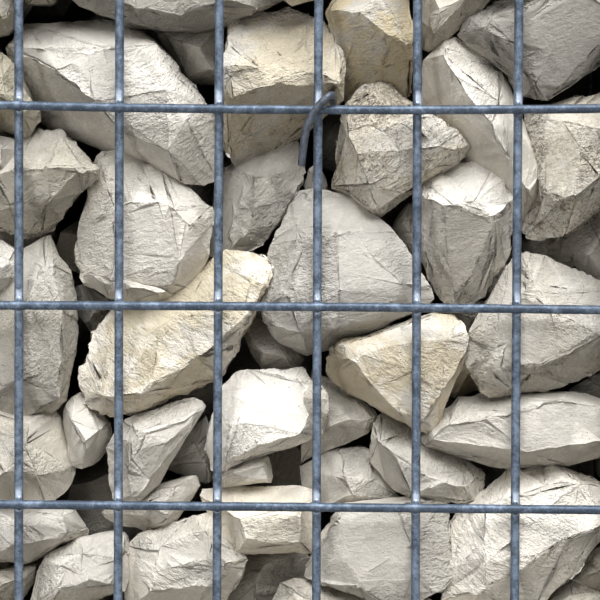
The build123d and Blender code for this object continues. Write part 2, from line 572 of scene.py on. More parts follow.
def add_mesh(target, mesh):
    """Adds one mesh's shape to a bmesh, and removes the mesh."""
    target.from_mesh(mesh)
    bpy.data.meshes.remove(mesh)


def count_triangles(mesh):
    """The triangles of a mesh, once its faces are divided."""
    return sum(len(face.vertices) - 2 for face in mesh.polygons)


def tube_mesh(name, paths, radius, sides):
    """One mesh of closed round tubes. Each path is a list of points with a swelling factor."""
    curve = bpy.data.curves.new(name, "CURVE")
    curve.dimensions = "3D"
    curve.bevel_depth = radius
    curve.bevel_resolution = (sides - 4) // 2
    curve.use_fill_caps = True
    for path in paths:
        spline = curve.splines.new("POLY")
        spline.points.add(len(path) - 1)
        for point, (place, swell) in zip(spline.points, path):
            point.co = (*place, 1)
            point.radius = swell
    holder = bpy.data.objects.new(name, curve)
    bpy.context.scene.collection.objects.link(holder)
    depsgraph = bpy.context.evaluated_depsgraph_get()
    mesh = bpy.data.meshes.new_from_object(holder.evaluated_get(depsgraph))
    bpy.data.objects.remove(holder)
    bpy.data.curves.remove(curve)
    tube = bmesh.new()
    add_mesh(tube, mesh)
    bmesh.ops.remove_doubles(tube, verts=tube.verts, dist=0.02 * MM)
    closed = bpy.data.meshes.new(name)
    tube.to_mesh(closed)
    tube.free()
    closed.shade_smooth()
    return closed


def show(name, mesh, material, replaced):
    """Puts a finished mesh in the scene as a piece of the wall."""
    mesh.name = name
    mesh.materials.clear()
    mesh.materials.append(material)
    piece = bpy.data.objects.new(name, mesh)
    bpy.context.scene.collection.objects.link(piece)
    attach(piece, "root")
    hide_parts(*replaced)
    return piece


print("tube helper ready")

# %% [markdown]
# A weld is a small flattened bead of metal between the two wires. At each crossing the cross bar
# is pressed in a little, and the bead fills the corners.

# %% Build every panel
CLOSE_STEP = 3 * MM
FAR_STEP = 31 * MM
SIDEWAYS_SWAY = 0.7 * MM
OUTWARD_SWAY = 0.25 * MM
BEAD = 2.45 * MM
BEAD_FLAT = 2.2 * MM


def wire_points(panel, is_bar, number, fixed, span, step):
    """Points of one wire with its sway, its bends and a slight swelling at each weld."""
    count = max(2, round(span / step))
    crossings = panel.uprights if is_bar else panel.bars
    seed = sum(ord(letter) for letter in panel.node) + number + 50 * is_bar
    points = []
    for i in range(count + 1):
        run = -span / 2 + span * i / count
        side = sway(seed, run, SIDEWAYS_SWAY)
        lift = sway(seed + 0.5, run, OUTWARD_SWAY)
        outward = (WIRE / 2 if is_bar else -WIRE / 2) + lift
        place = panel.point(run, fixed + side, outward) if is_bar else panel.point(
            fixed + side, run, outward)
        if panel.node == SEEN_PANEL:
            place = seen_place(place, is_bar, number)
        near = min(abs(run - c) for c in crossings) / MM
        swell = 1 + 0.07 * math.exp(-((near / 2.2) ** 2)) + noise.noise(place * 260) * 0.035
        swell -= 0.07 * math.exp(-(((near - 5) / 1.8) ** 2)) if is_bar else 0
        points.append((place, swell))
    return points


def seen_place(place, is_bar, number):
    """Moves a point of the seen panel to where its wire lies in the picture."""
    table = BARS_DOWN if is_bar else UPRIGHTS_ACROSS
    if number not in table:
        return place
    corner = picture_point(0, 0, place.y)
    far = picture_point(PICTURE, PICTURE, place.y)
    if is_bar:
        where = (place.x - corner.x) / (far.x - corner.x) * PICTURE
        target = picture_point(where, bend(PICTURE_STOPS, table[number], where), place.y)
        return Vector((place.x, place.y, target.z))
    where = (place.z - corner.z) / (far.z - corner.z) * PICTURE
    target = picture_point(bend(PICTURE_STOPS, table[number], where), where, place.y)
    return Vector((target.x, place.y, place.z))


def add_fillet(shape, panel, place, side):
    """Zinc that ran into the corner over a bar (side 1) or under it (side -1), to a point."""
    reach = 5.0 if side > 0 else 3.4
    corners = (
        (-1.9, 1.8, 0.2), (1.9, 1.8, 0.2), (0, 2.1, 0.9), (0, reach, -0.5), (0, 3, -1.6),
        (-1.5, 2.8, -1.3), (1.5, 2.8, -1.3),
    )
    made = []
    for across, above, out in corners:
        spot = panel.along * across + panel.up * above * side + panel.out * out
        made.append(shape.verts.new(place + spot * MM))
    hull = bmesh.ops.convex_hull(shape, input=made)
    loose = [v for v in hull["geom_interior"] if isinstance(v, bmesh.types.BMVert)]
    bmesh.ops.delete(shape, geom=loose, context="VERTS")
    edges = dict.fromkeys(edge for vert in made if vert.is_valid for edge in vert.link_edges)
    bmesh.ops.subdivide_edges(shape, edges=list(edges), cuts=2, smooth=0.15, use_grid_fill=True)


def weld_beads(panel, close):
    """Small flattened beads, one at each crossing."""
    beads = bmesh.new()
    for upright_number, across in enumerate(panel.uprights):
        for bar_number, above in enumerate(panel.bars):
            place = panel.point(across, above, 0)
            if panel.node == SEEN_PANEL:
                sideways = seen_place(place, False, upright_number)
                level = seen_place(place, True, bar_number)
                place = Vector((sideways.x, place.y, level.z))
            made = bmesh.ops.create_icosphere(beads, subdivisions=2 if close else 1, radius=1.0)
            size = Vector((BEAD,) * 3)
            size -= Vector(abs(part) for part in panel.out) * (BEAD - BEAD_FLAT)
            bmesh.ops.scale(beads, vec=size, verts=made["verts"])
            if close:
                for vert in made["verts"]:
                    vert.co *= 1 + 0.12 * noise.noise((vert.co + place) * 500)
            bmesh.ops.translate(beads, vec=place, verts=made["verts"])
            if close:
                for side in (1, -1):
                    add_fillet(beads, panel, place, side)
    mesh = bpy.data.meshes.new("beads")
    beads.to_mesh(mesh)
    beads.free()
    return mesh


def build_panel(panel):
    """Tubes and beads of one panel, fine only where the picture shows them."""
    close = panel.node == SEEN_PANEL
    near_paths, far_paths = [], []
    for is_bar, places in ((False, panel.uprights), (True, panel.bars)):
        span = (panel.width if is_bar else panel.height) + WIRE
        for number, fixed in enumerate(places):
            seen = close and number in (BARS_DOWN if is_bar else UPRIGHTS_ACROSS)
            step = CLOSE_STEP if seen else FAR_STEP
            paths = near_paths if seen else far_paths
            paths.append(wire_points(panel, is_bar, number, fixed, span, step))
    shape = bmesh.new()
    for paths, sides in ((near_paths, 16), (far_paths, 8)):
        if paths:
            add_mesh(shape, tube_mesh(panel.node, paths, WIRE / 2, sides))
    add_mesh(shape, weld_beads(panel, close))
    # Painted highlight round the crossings and painted shade on the cross bars, read by the material
    weld = shape.verts.layers.float.new("weld")
    for vert in shape.verts:
        vert[weld] = panel.weld_strength(vert.co)
    mesh = bpy.data.meshes.new(panel.node + "_wires")
    shape.to_mesh(mesh)
    shape.free()
    mesh.shade_smooth()
    show(panel.node + "_wires", mesh, MESH_WIRE, [panel.node])
    return count_triangles(mesh)


wire_triangles = sum(build_panel(panel) for panel in PANELS)
print("wires have", wire_triangles, "triangles")

# %% [markdown]
# ## Spacer ties
#
# A tie is a straight rod through the stone with a hook at each end, bent over the crossing of two
# wires so that the faces can't bulge. Its tip hangs beside the upright and turns in towards the
# stone. A few points are smoothed into a round bend, and the cut end is flat.

# %% Build the ties
TIE_RADIUS = 2.0 * MM
ROD_ASIDE = 7.5 * MM
ROD_ABOVE = 4.55 * MM
CUT_END = 0.82

# Points of a hook from the crossing that it holds: across, outward from the bars and up, in mm
HOOK_POINTS = (
    (7.5, -20.0, 4.6), (7.6, -7.0, 4.8), (7.2, -0.5, 5.2), (5.6, 2.6, 5.0), (3.0, 3.2, 2.6),
    (0.0, 3.2, -0.6), (-3.2, 3.1, -5.0), (-5.4, 2.8, -10.0), (-6.6, 1.9, -15.5),
    (-7.4, 0.2, -21.5), (-8.2, -2.2, -29.5),
)


def smooth_path(points, rounds):
    """Cuts corners again and again until a row of points is a round curve."""
    for _ in range(rounds):
        cut = [points[0]]
        for first, second in zip(points, points[1:]):
            cut.append(first.lerp(second, 0.25))
            cut.append(first.lerp(second, 0.75))
        cut.append(points[-1])
        points = cut
    return points


def build_tie(node):
    """A rod with a hook at the front and the same hook mirrored at the back."""
    high = Vector(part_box(node)[1])
    crossing_x = high.x - TIE_RADIUS - ROD_ASIDE
    crossing_z = high.z - TIE_RADIUS - ROD_ABOVE
    bar_face = UPRIGHT_Y - WIRE * 1.5
    hook = []
    for x, outward, z in HOOK_POINTS:
        hook.append(Vector((crossing_x + x * MM, bar_face - outward * MM, crossing_z + z * MM)))
    mirrored = [Vector((p.x, -p.y, p.z)) for p in hook]
    route = smooth_path(list(reversed(hook)), 2)[:-1] + smooth_path(mirrored, 2)[1:]
    tips = len(route) - 1
    path = []
    for i, place in enumerate(route):
        blunt = CUT_END if i in (0, tips) else 1.0
        path.append((place, blunt * (1 + 0.03 * noise.noise(place * 300))))
    mesh = tube_mesh(node, [path], TIE_RADIUS, 12)
    show(node + "_rod", mesh, TIE_WIRE, [node])


tie_nodes = [node for node in sorted(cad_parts) if node.startswith("spacer_tie")]
for tie_node in tie_nodes:
    build_tie(tie_node)
print(len(tie_nodes), "ties")

# %% [markdown]
# ## Spiral binders
#
# Welded panels are usually joined at their edges by a long wire helix that is screwed along both
# edge wires. The picture shows no edge, so these are a reasoned guess. A helix is one row of
# points round a line, nine to a turn, which costs few faces.

# %% Build the spiral binders
BINDER_WIRE = 2.7 * MM
BINDER_RADIUS = 7.6 * MM
BINDER_PITCH = 55 * MM
TURN_POINTS = 9

# Where the binders' middle lines run, from the wall's end, its base and its lid
END_INSET = 6.75 * MM
BASE_INSET = 10.6 * MM
LID_INSET = 8.0 * MM

# How far they stop short of a corner, so that they don't cross there
STANDING_SHORT = 12 * MM
LEVEL_SHORT = 10 * MM


def helix(start, end):
    """Points of a helix round the line from start to end."""
    run = end - start
    way = run.normalized()
    side = way.orthogonal().normalized()
    other = way.cross(side)
    count = round(run.length / BINDER_PITCH * TURN_POINTS)
    points = []
    for i in range(count + 1):
        angle = math.tau * i / TURN_POINTS
        place = start + run * (i / count)
        place += (side * math.cos(angle) + other * math.sin(angle)) * BINDER_RADIUS
        points.append((place, 1.0))
    return points


def edge_lines():
    """The lines where panels meet: standing corners and joints, and level edges."""
    high = Vector(cad_bounds[1])
    edge_x = high.x - END_INSET
    edge_y = abs(FACE_Y) + WIRE / 2
    base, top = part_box("base_mesh_left"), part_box("lid_mesh_left")
    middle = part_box("floor_mesh_upper_left")
    joint = (middle[0][2] + middle[1][2]) / 2
    levels = [base[0][2] + BASE_INSET, joint, top[1][2] - LID_INSET]
    depth = edge_y - LEVEL_SHORT
    lines = []
    for first, second in zip(levels, levels[1:]):
        lower, upper = first + STANDING_SHORT, second - STANDING_SHORT
        for y in (-edge_y, edge_y):
            for x in (-edge_x, 0.0, edge_x):
                lines.append((Vector((x, y, lower)), Vector((x, y, upper))))
    for z in levels:
        for first, second in ((-edge_x, 0.0), (0.0, edge_x)):
            for y in (-edge_y, edge_y):
                left, right = first + LEVEL_SHORT, second - LEVEL_SHORT
                lines.append((Vector((left, y, z)), Vector((right, y, z))))
        places = (-edge_x, edge_x, 0.0) if z == levels[2] else (-edge_x, edge_x)
        for x in places:
            lines.append((Vector((x, -depth, z)), Vector((x, depth, z))))
    return lines


binder_mesh = tube_mesh("binders", [helix(*line) for line in edge_lines()], BINDER_WIRE / 2, 6)
frame_nodes = [panel.node for panel in PANELS]
show("spiral_binders", binder_mesh, TIE_WIRE, frame_nodes)
print("binders", len(binder_mesh.polygons), "faces")

# %% [markdown]
# ## Stones that the picture shows
#
# A broken stone is close to a convex lump with flat faces, and a convex hull needs only its
# corners. Each stone is a short list of corners: across and down in the picture, and millimetres
# behind the mesh. The outline's corners lie deep, and the ridges between the faces lie near the
# mesh, which sets how each face catches the light. The hull's back comes from the same corners,
# drawn in and pushed back. Stones listed one by one follow the picture, where random stones don't.

# %% Corners of the stones in the picture
# Each stone: look (warmth, brightness, stain, speckle), green, lean of its bedding in degrees, corners.
# Brightness is partly the stone's tone and partly painted light or shade: lowered on stones in shade,
# raised on low stones that the lamp above reaches less.
STONES = {
    "corner green": ((0.9, 0.6, 0.4, 0.2), 0.9, 20, [
        (-25, -20, 22), (12, -18, 20), (14, 10, 12), (13, 28, 14), (8, 34, 18), (-5, 38, 24),
        (-25, 30, 28), (-8, 5, 5), (4, 20, 6)]),
    "top edge": ((0.6, 0.8, 0.1, 0.1), 0.5, 10, [
        (20, -34, 34), (62, -34, 34), (56, -2, 30), (50, 4, 32), (28, 5, 32), (20, -5, 32),
        (40, -14, 18)]),
    "left rough": ((0.8, 0.85, 0.3, 0.2), 0.6, 60, [
        (-28, 52, 26), (-5, 48, 22), (4, 52, 20), (14, 64, 16), (24, 84, 14), (33, 100, 14),
        (38, 110, 18), (37, 122, 22), (31, 133, 26), (27, 138, 28), (10, 133, 28),
        (-28, 126, 32), (2, 80, 4), (12, 104, 2), (20, 114, 5), (-10, 90, 3)]),
    "top slab": ((0.3, 0.54, 0.05, 0.0), 0.0, 25, [
        (64, -34, 36), (71, -2, 24), (80, 6, 22), (92, 13, 20), (112, 20, 20), (126, 22, 20),
        (140, 28, 20), (153, 32, 22), (186, 31, 22), (200, 32, 22), (213, 29, 22), (224, 25, 20),
        (246, 16, 18), (268, 14, 18), (281, 6, 20), (288, -5, 24), (286, -34, 36), (100, -4, 8),
        (140, 8, 4), (180, 14, 3), (205, 16, 3), (240, 0, 4), (182, -10, 2), (150, -34, 16)]),
    "under top slab": ((0.4, 1.05, 0.0, 0.1), 0.0, 30, [
        (148, 24, 46), (222, 20, 46), (224, 60, 42), (220, 78, 44), (200, 78, 46), (188, 75, 46),
        (176, 60, 46), (163, 46, 46), (200, 48, 33), (186, 44, 34), (212, 70, 36), (218, 86, 60),
        (190, 84, 60)]),
    "broad ledge": ((0.25, 1.0, 0.0, 0.0), 0.0, 28, [
        (2, 46, 30), (12, 34, 36), (25, 24, 40), (63, 24, 42), (82, 20, 42), (113, 20, 40),
        (127, 23, 38), (142, 31, 36), (154, 40, 34), (167, 55, 28), (181, 68, 24), (189, 83, 22),
        (196, 97, 20), (205, 108, 20), (217, 120, 26), (219, 150, 28), (217, 180, 28),
        (203, 186, 24), (191, 185, 22), (180, 181, 18), (165, 167, 14), (147, 151, 16),
        (126, 141, 18), (108, 137, 34), (96, 132, 42), (73, 132, 46), (52, 130, 48),
        (38, 122, 48), (28, 92, 44), (20, 68, 38), (46, 50, 14), (64, 57, 10), (88, 55, 7),
        (115, 47, 7), (155, 45, 12), (59, 69, 9), (78, 86, 6), (94, 101, 4), (125, 134, 7),
        (165, 90, 3), (185, 120, 6), (170, 150, 4)]),
    "ochre topped block": ((0.35, 1.0, 0.6, 0.1), 0.1, 15, [
        (230, 17, 24), (245, 13, 28), (272, 17, 28), (291, 11, 30), (311, 10, 30), (324, 20, 28),
        (333, 32, 25), (339, 50, 22), (343, 67, 20), (344, 84, 18), (343, 101, 22),
        (227, 45, 14), (224, 74, 9), (226, 101, 8), (247, 90, 4), (272, 83, 2), (303, 70, 3),
        (338, 84, 10), (262, 68, 4), (227, 149, 34), (232, 168, 44), (258, 163, 46),
        (287, 151, 46), (299, 141, 46), (320, 120, 42)]),
    "behind ochre top": ((0.3, 0.9, 0.0, 0.0), 0.0, 50, [
        (214, 172, 48), (232, 160, 44), (262, 150, 42), (300, 138, 44), (306, 168, 40),
        (296, 196, 38), (280, 226, 38), (262, 252, 40), (228, 258, 40), (208, 256, 46),
        (250, 180, 32), (270, 178, 33), (240, 230, 32)]),
    "behind hook": ((0.3, 0.66, 0.0, 0.0), 0.0, 80, [
        (303, 190, 40), (310, 168, 38), (317, 164, 36), (326, 178, 38), (330, 196, 42),
        (316, 182, 28), (318, 200, 30)]),
    "deep behind hook": ((0.6, 0.6, 0.0, 0.0), 0.0, 0, [
        (314, 104, 68), (352, 104, 68), (358, 140, 66), (346, 172, 68), (318, 168, 68),
        (330, 132, 58), (340, 140, 59)]),
    "small far left": ((0.4, 0.85, 0.1, 0.3), 0.5, 20, [
        (-26, 136, 26), (2, 137, 22), (14, 139, 20), (20, 152, 18), (16, 172, 18), (2, 178, 16),
        (-26, 180, 20), (2, 150, 8), (0, 168, 6)]),
    "rough left": ((0.55, 0.86, 0.1, 0.2), 0.4, 12, [
        (8, 140, 26), (26, 138, 28), (38, 128, 34), (60, 134, 30), (64, 143, 26), (77, 147, 24),
        (88, 155, 20), (95, 165, 16), (97, 172, 16), (90, 183, 18), (84, 194, 20),
        (71, 208, 24), (63, 220, 28), (52, 230, 32), (32, 241, 32), (24, 240, 30), (10, 233, 28),
        (-14, 220, 28), (-20, 190, 20), (-5, 174, 9), (15, 169, 5), (46, 168, 3), (80, 168, 5),
        (94, 166, 12), (48, 204, 9), (10, 205, 10)]),
    "square block": ((0.35, 1.07, 0.05, 0.05), 0.0, 8, [
        (96, 153, 26), (104, 149, 28), (115, 147, 26), (127, 148, 26), (134, 148, 26),
        (151, 157, 26), (161, 166, 24), (178, 180, 24), (193, 189, 24), (203, 199, 22),
        (210, 208, 18), (212, 224, 18), (210, 236, 20), (209, 256, 22), (199, 273, 26),
        (191, 287, 24), (174, 294, 20), (163, 299, 18), (138, 298, 16), (107, 298, 20),
        (96, 288, 20), (82, 282, 26), (76, 273, 28), (74, 252, 30), (80, 224, 28), (86, 203, 28),
        (89, 182, 28), (96, 168, 26), (127, 203, 4), (159, 205, 2), (172, 212, 1), (186, 225, 1),
        (182, 254, 3), (172, 286, 8), (114, 212, 8), (112, 280, 8)]),
    "block ledge": ((0.35, 0.9, 0.05, 0.05), 0.0, 8, [
        (82, 276, 24), (84, 284, 26), (94, 290, 20), (106, 298, 18), (126, 303, 18),
        (160, 302, 20), (180, 296, 22), (126, 286, 5), (160, 290, 5), (104, 276, 8),
        (90, 272, 14)]),
    "yellow slope": ((0.7, 1.32, 0.7, 0.05), 0.25, -32, [
        (203, 270, 26), (212, 258, 24), (228, 252, 24), (252, 251, 22), (264, 256, 20),
        (275, 268, 18), (270, 281, 12), (250, 296, 7), (243, 312, 6), (240, 330, 10),
        (237, 346, 16), (228, 368, 24), (222, 378, 26), (206, 372, 22), (188, 388, 22),
        (165, 403, 22), (142, 411, 20), (125, 416, 18), (103, 415, 18), (92, 408, 20),
        (85, 401, 22), (79, 388, 24), (79, 370, 24), (84, 352, 24), (96, 333, 24),
        (107, 315, 26), (112, 300, 28), (180, 320, 8), (212, 300, 10), (228, 330, 8),
        (120, 370, 8), (104, 396, 4), (140, 392, 2), (198, 360, 4), (226, 272, 18)]),
    "bright corner left": ((0.3, 1.0, 0.0, 0.0), 0.1, 40, [
        (-26, 240, 24), (0, 238, 20), (8, 243, 18), (15, 251, 16), (15, 275, 14), (6, 289, 16),
        (-26, 296, 20), (4, 262, 5), (-6, 280, 5)]),
    "tall left": ((0.4, 0.76, 0.05, 0.1), 0.25, 70, [
        (24, 248, 26), (40, 236, 28), (52, 231, 28), (56, 240, 28), (63, 257, 28), (70, 275, 28),
        (75, 298, 28), (78, 322, 28), (77, 346, 28), (74, 371, 28), (67, 399, 26), (61, 407, 24),
        (39, 411, 20), (25, 419, 18), (11, 417, 20), (-6, 409, 24), (-26, 390, 26),
        (-26, 300, 24), (50, 262, 8), (61, 312, 6), (61, 366, 5), (58, 396, 8), (28, 300, 3),
        (20, 380, 3), (40, 270, 6)]),
    "small under block": ((0.4, 0.8, 0.0, 0.1), 0.0, 30, [
        (74, 290, 48), (84, 284, 46), (110, 300, 44), (108, 318, 44), (94, 337, 46),
        (84, 324, 46), (76, 310, 48), (94, 312, 36), (90, 322, 38)]),
    "left middle": ((0.6, 0.95, 0.1, 0.15), 0.15, 75, [
        (-26, 404, 26), (0, 411, 22), (12, 417, 22), (25, 419, 22), (39, 413, 24), (56, 408, 26),
        (62, 416, 28), (64, 442, 28), (72, 461, 28), (76, 470, 28), (70, 484, 28), (58, 498, 26),
        (46, 501, 24), (10, 501, 20), (-26, 498, 22), (24, 440, 4), (8, 470, 3), (36, 476, 8),
        (30, 420, 12)]),
    "small wedge": ((0.3, 0.93, 0.0, 0.05), 0.0, 35, [
        (63, 406, 28), (72, 397, 30), (80, 390, 30), (86, 402, 28), (103, 416, 24),
        (111, 421, 26), (113, 440, 32), (104, 456, 32), (94, 465, 26), (77, 469, 22),
        (71, 466, 24), (66, 442, 26), (63, 420, 28), (72, 420, 14), (82, 442, 8), (98, 430, 9),
        (80, 464, 14)]),
    "bright dart": ((0.25, 1.06, 0.0, 0.05), 0.0, 55, [
        (124, 422, 18), (134, 417, 18), (150, 411, 20), (166, 405, 22), (180, 403, 22),
        (193, 398, 22), (201, 397, 20), (206, 404, 16), (203, 413, 12), (190, 430, 8),
        (178, 446, 10), (163, 468, 14), (159, 484, 18), (149, 493, 18), (140, 501, 16),
        (122, 502, 18), (111, 499, 20), (109, 472, 22), (110, 447, 22), (116, 432, 20),
        (132, 434, 4), (146, 434, 2), (165, 443, 3), (199, 414, 7), (128, 470, 5),
        (152, 470, 6), (136, 496, 8)]),
    "dark behind flat": ((0.6, 0.6, 0.0, 0.0), 0.0, 0, [
        (180, 468, 64), (214, 466, 64), (224, 486, 62), (216, 508, 64), (190, 512, 64),
        (176, 494, 64), (200, 488, 56), (196, 478, 57)]),
    "dark behind dart": ((0.3, 0.75, 0.0, 0.0), 0.0, 40, [
        (160, 466, 44), (176, 444, 42), (205, 414, 40), (214, 430, 38), (216, 462, 38),
        (213, 486, 42), (190, 474, 42), (196, 446, 32), (206, 462, 32)]),
    "flat behind bar": ((0.55, 0.85, 0.0, 0.1), 0.0, -28, [
        (102, 512, 34), (112, 500, 32), (141, 499, 28), (160, 483, 28), (184, 477, 26),
        (197, 474, 26), (200, 485, 26), (184, 512, 26), (171, 528, 28), (150, 530, 28),
        (122, 525, 28), (108, 517, 32), (176, 486, 16), (150, 508, 14), (168, 518, 14),
        (126, 514, 18)]),
    "white stone": ((0.1, 1.22, 0.0, 0.0), 0.0, 65, [
        (212, 402, 22), (216, 390, 22), (224, 381, 22), (235, 371, 24), (249, 368, 24),
        (272, 368, 24), (300, 371, 24), (312, 376, 22), (323, 386, 18), (328, 397, 14),
        (327, 415, 12), (324, 434, 14), (302, 443, 14), (288, 441, 14), (275, 446, 16),
        (262, 448, 18), (249, 460, 18), (224, 474, 20), (212, 472, 22), (204, 446, 24),
        (212, 422, 22), (208, 414, 22), (244, 388, 14), (239, 421, 6), (246, 402, 9),
        (260, 446, 3), (300, 384, 11), (318, 400, 7), (300, 434, 1), (228, 430, 9),
        (226, 462, 10)]),
    "speckled cap": ((0.5, 1.0, 0.2, 1.0), 0.0, 65, [
        (300, 376, 20), (314, 378, 17), (323, 386, 13), (329, 397, 10), (328, 414, 9),
        (322, 432, 12), (304, 440, 14), (304, 396, 6), (316, 400, 2), (314, 420, 3)]),
    "under white": ((0.35, 0.9, 0.0, 0.05), 0.0, 20, [
        (212, 476, 26), (222, 462, 26), (250, 452, 26), (268, 454, 26), (271, 468, 24),
        (273, 478, 24), (270, 486, 26), (224, 487, 26), (213, 484, 28), (262, 466, 13),
        (228, 474, 14), (268, 480, 15)]),
    "shelf": ((0.85, 1.3, 0.25, 0.1), 0.0, 5, [
        (198, 489, 26), (212, 487, 26), (224, 486, 26), (262, 486, 24), (300, 486, 24),
        (309, 487, 26), (315, 498, 24), (316, 540, 22), (312, 552, 22), (284, 548, 14),
        (262, 547, 12), (234, 552, 14), (229, 543, 18), (227, 530, 22), (220, 514, 26),
        (204, 511, 28), (198, 500, 28), (236, 511, 6), (300, 512, 4), (246, 540, 4),
        (300, 544, 6), (232, 528, 12), (220, 500, 14)]),
    "strata left": ((0.3, 1.0, 0.0, 0.05), 0.0, 80, [
        (38, 564, 20), (42, 556, 20), (58, 547, 22), (78, 537, 24), (98, 532, 24), (113, 530, 24),
        (126, 529, 24), (132, 545, 24), (130, 575, 20), (124, 592, 18), (113, 590, 14),
        (94, 592, 14), (76, 596, 14), (50, 606, 16), (28, 610, 20), (34, 588, 22), (38, 572, 22),
        (60, 566, 5), (84, 552, 6), (90, 580, 3), (118, 560, 6), (56, 592, 5), (112, 584, 6)]),
    "lower left slab": ((0.3, 0.86, 0.0, 0.1), 0.1, -15, [
        (-26, 508, 26), (10, 508, 24), (38, 508, 24), (63, 508, 26), (77, 511, 30), (88, 530, 32),
        (86, 536, 32), (66, 542, 26), (50, 547, 24), (38, 556, 22), (30, 563, 22), (12, 563, 24),
        (-26, 560, 26), (64, 516, 10), (66, 536, 10), (30, 524, 3), (12, 546, 4), (44, 540, 6)]),
    "lower left corner": ((0.7, 0.72, 0.1, 0.1), 0.0, 25, [
        (-26, 572, 26), (0, 573, 24), (14, 568, 24), (36, 565, 26), (34, 580, 28), (26, 596, 28),
        (10, 612, 28), (-26, 612, 28), (6, 586, 10), (20, 578, 12)]),
    "bright bottom": ((0.45, 1.02, 0.1, 0.05), 0.05, -35, [
        (124, 552, 24), (127, 544, 24), (142, 533, 24), (159, 528, 24), (172, 525, 24),
        (184, 517, 26), (191, 514, 26), (212, 512, 26), (220, 533, 20), (229, 545, 16),
        (234, 552, 14), (247, 558, 14), (246, 568, 14), (237, 584, 16), (224, 600, 20),
        (214, 618, 24), (124, 618, 24), (160, 548, 4), (168, 566, 2), (204, 530, 7),
        (206, 560, 3), (226, 562, 4), (150, 590, 3), (214, 586, 6)]),
    "dark under shelf": ((0.6, 0.66, 0.0, 0.1), 0.0, 10, [
        (226, 552, 44), (302, 548, 42), (320, 566, 44), (300, 590, 44), (262, 612, 44),
        (220, 616, 44), (262, 566, 32), (250, 596, 34)]),
    "bottom middle": ((0.55, 0.9, 0.1, 0.6), 0.0, 15, [
        (262, 620, 24), (272, 599, 22), (281, 583, 22), (293, 577, 24), (312, 580, 24),
        (330, 588, 22), (364, 596, 22), (392, 606, 24), (390, 626, 28), (296, 592, 8),
        (290, 622, 8), (340, 606, 8)]),
    "pale giant": ((0.2, 0.75, 0.0, 0.0), 0.0, 14, [
        (266, 256, 24), (270, 245, 24), (277, 233, 24), (285, 219, 26), (292, 201, 28),
        (300, 191, 30), (313, 188, 30), (334, 190, 28), (350, 197, 26), (363, 208, 24),
        (376, 218, 22), (395, 233, 20), (403, 246, 18), (413, 258, 18), (422, 268, 16),
        (432, 285, 14), (435, 300, 16), (418, 308, 14), (396, 314, 14), (376, 321, 12),
        (340, 328, 6), (300, 331, 6), (273, 326, 14), (263, 318, 20), (262, 290, 20),
        (274, 342, 28), (300, 353, 32), (309, 357, 34), (326, 352, 34), (363, 331, 30),
        (318, 200, 20), (300, 240, 8), (334, 232, 6), (372, 256, 6), (404, 284, 5),
        (340, 290, 1), (290, 290, 5), (396, 300, 6)]),
    "beside giant": ((0.45, 0.84, 0.0, 0.0), 0.0, 40, [
        (390, 232, 42), (398, 214, 40), (409, 198, 38), (420, 206, 40), (428, 240, 40),
        (426, 266, 42), (410, 258, 42), (408, 222, 29), (414, 244, 29)]),
    "dark below giant": ((0.55, 0.74, 0.0, 0.05), 0.0, 20, [
        (238, 310, 50), (266, 306, 48), (270, 330, 46), (300, 350, 42), (306, 360, 42),
        (300, 371, 42), (262, 368, 42), (246, 346, 44), (240, 330, 48), (262, 352, 31),
        (284, 356, 31), (252, 336, 36)]),
    "pinholed top": ((0.65, 0.8, 0.9, 0.1), 0.0, 20, [
        (324, 10, 20), (332, 5, 20), (340, -6, 22), (352, -26, 28), (406, -26, 28), (404, 0, 20),
        (406, 12, 18), (409, 26, 14), (414, 38, 12), (414, 70, 24), (409, 80, 30),
        (404, 100, 38), (346, 104, 42), (342, 84, 34), (338, 46, 28), (360, 12, 5),
        (388, 33, 2), (412, 46, 8), (352, 30, 16), (380, -10, 10), (380, 70, 18)]),
    "top between": ((0.7, 0.76, 0.1, 0.1), 0.0, 55, [
        (418, -26, 28), (500, -26, 28), (490, 0, 24), (479, 10, 22), (467, 21, 22), (457, 34, 22),
        (445, 37, 22), (441, 45, 22), (430, 55, 24), (421, 50, 26), (420, 20, 24), (440, 8, 6),
        (436, 30, 8), (466, -2, 6)]),
    "top right giant": ((0.35, 0.57, 0.0, 0.15), 0.0, 12, [
        (459, 35, 22), (466, 21, 24), (478, 11, 26), (493, 2, 28), (512, -4, 28), (560, -26, 32),
        (628, -26, 32), (628, 50, 22), (600, 67, 16), (587, 73, 14), (558, 87, 12),
        (547, 100, 14), (539, 102, 18), (524, 97, 22), (512, 85, 22), (505, 68, 22),
        (489, 60, 22), (476, 54, 22), (464, 43, 22), (482, 30, 9), (497, 14, 8), (508, 40, 5),
        (530, 2, 5), (552, 50, 6), (600, 34, 6), (536, 84, 11), (580, -8, 3), (626, 20, 6)]),
    "leaning slab": ((0.4, 1.05, 0.05, 0.1), 0.05, 55, [
        (422, 61, 24), (432, 53, 24), (441, 46, 24), (446, 36, 24), (453, 34, 26), (461, 40, 26),
        (472, 52, 26), (499, 66, 26), (507, 77, 26), (513, 90, 26), (524, 116, 24),
        (532, 135, 22), (540, 157, 18), (542, 172, 16), (536, 192, 20), (532, 209, 26),
        (524, 222, 32), (508, 236, 36), (421, 107, 36), (434, 124, 36), (452, 140, 36),
        (468, 155, 34), (490, 170, 32), (444, 54, 10), (468, 103, 3), (491, 124, 2),
        (509, 160, 3), (528, 190, 8), (500, 100, 8)]),
    "speckled stone": ((0.55, 0.96, 0.35, 0.95), 0.0, 40, [
        (346, 103, 28), (355, 94, 28), (363, 87, 28), (373, 83, 28), (384, 82, 28), (392, 88, 26),
        (397, 96, 22), (403, 105, 16), (418, 110, 12), (430, 115, 12), (445, 122, 12),
        (461, 132, 14), (469, 143, 16), (468, 149, 18), (459, 163, 22), (442, 170, 22),
        (422, 180, 22), (411, 188, 22), (392, 205, 24), (377, 218, 26), (370, 211, 26),
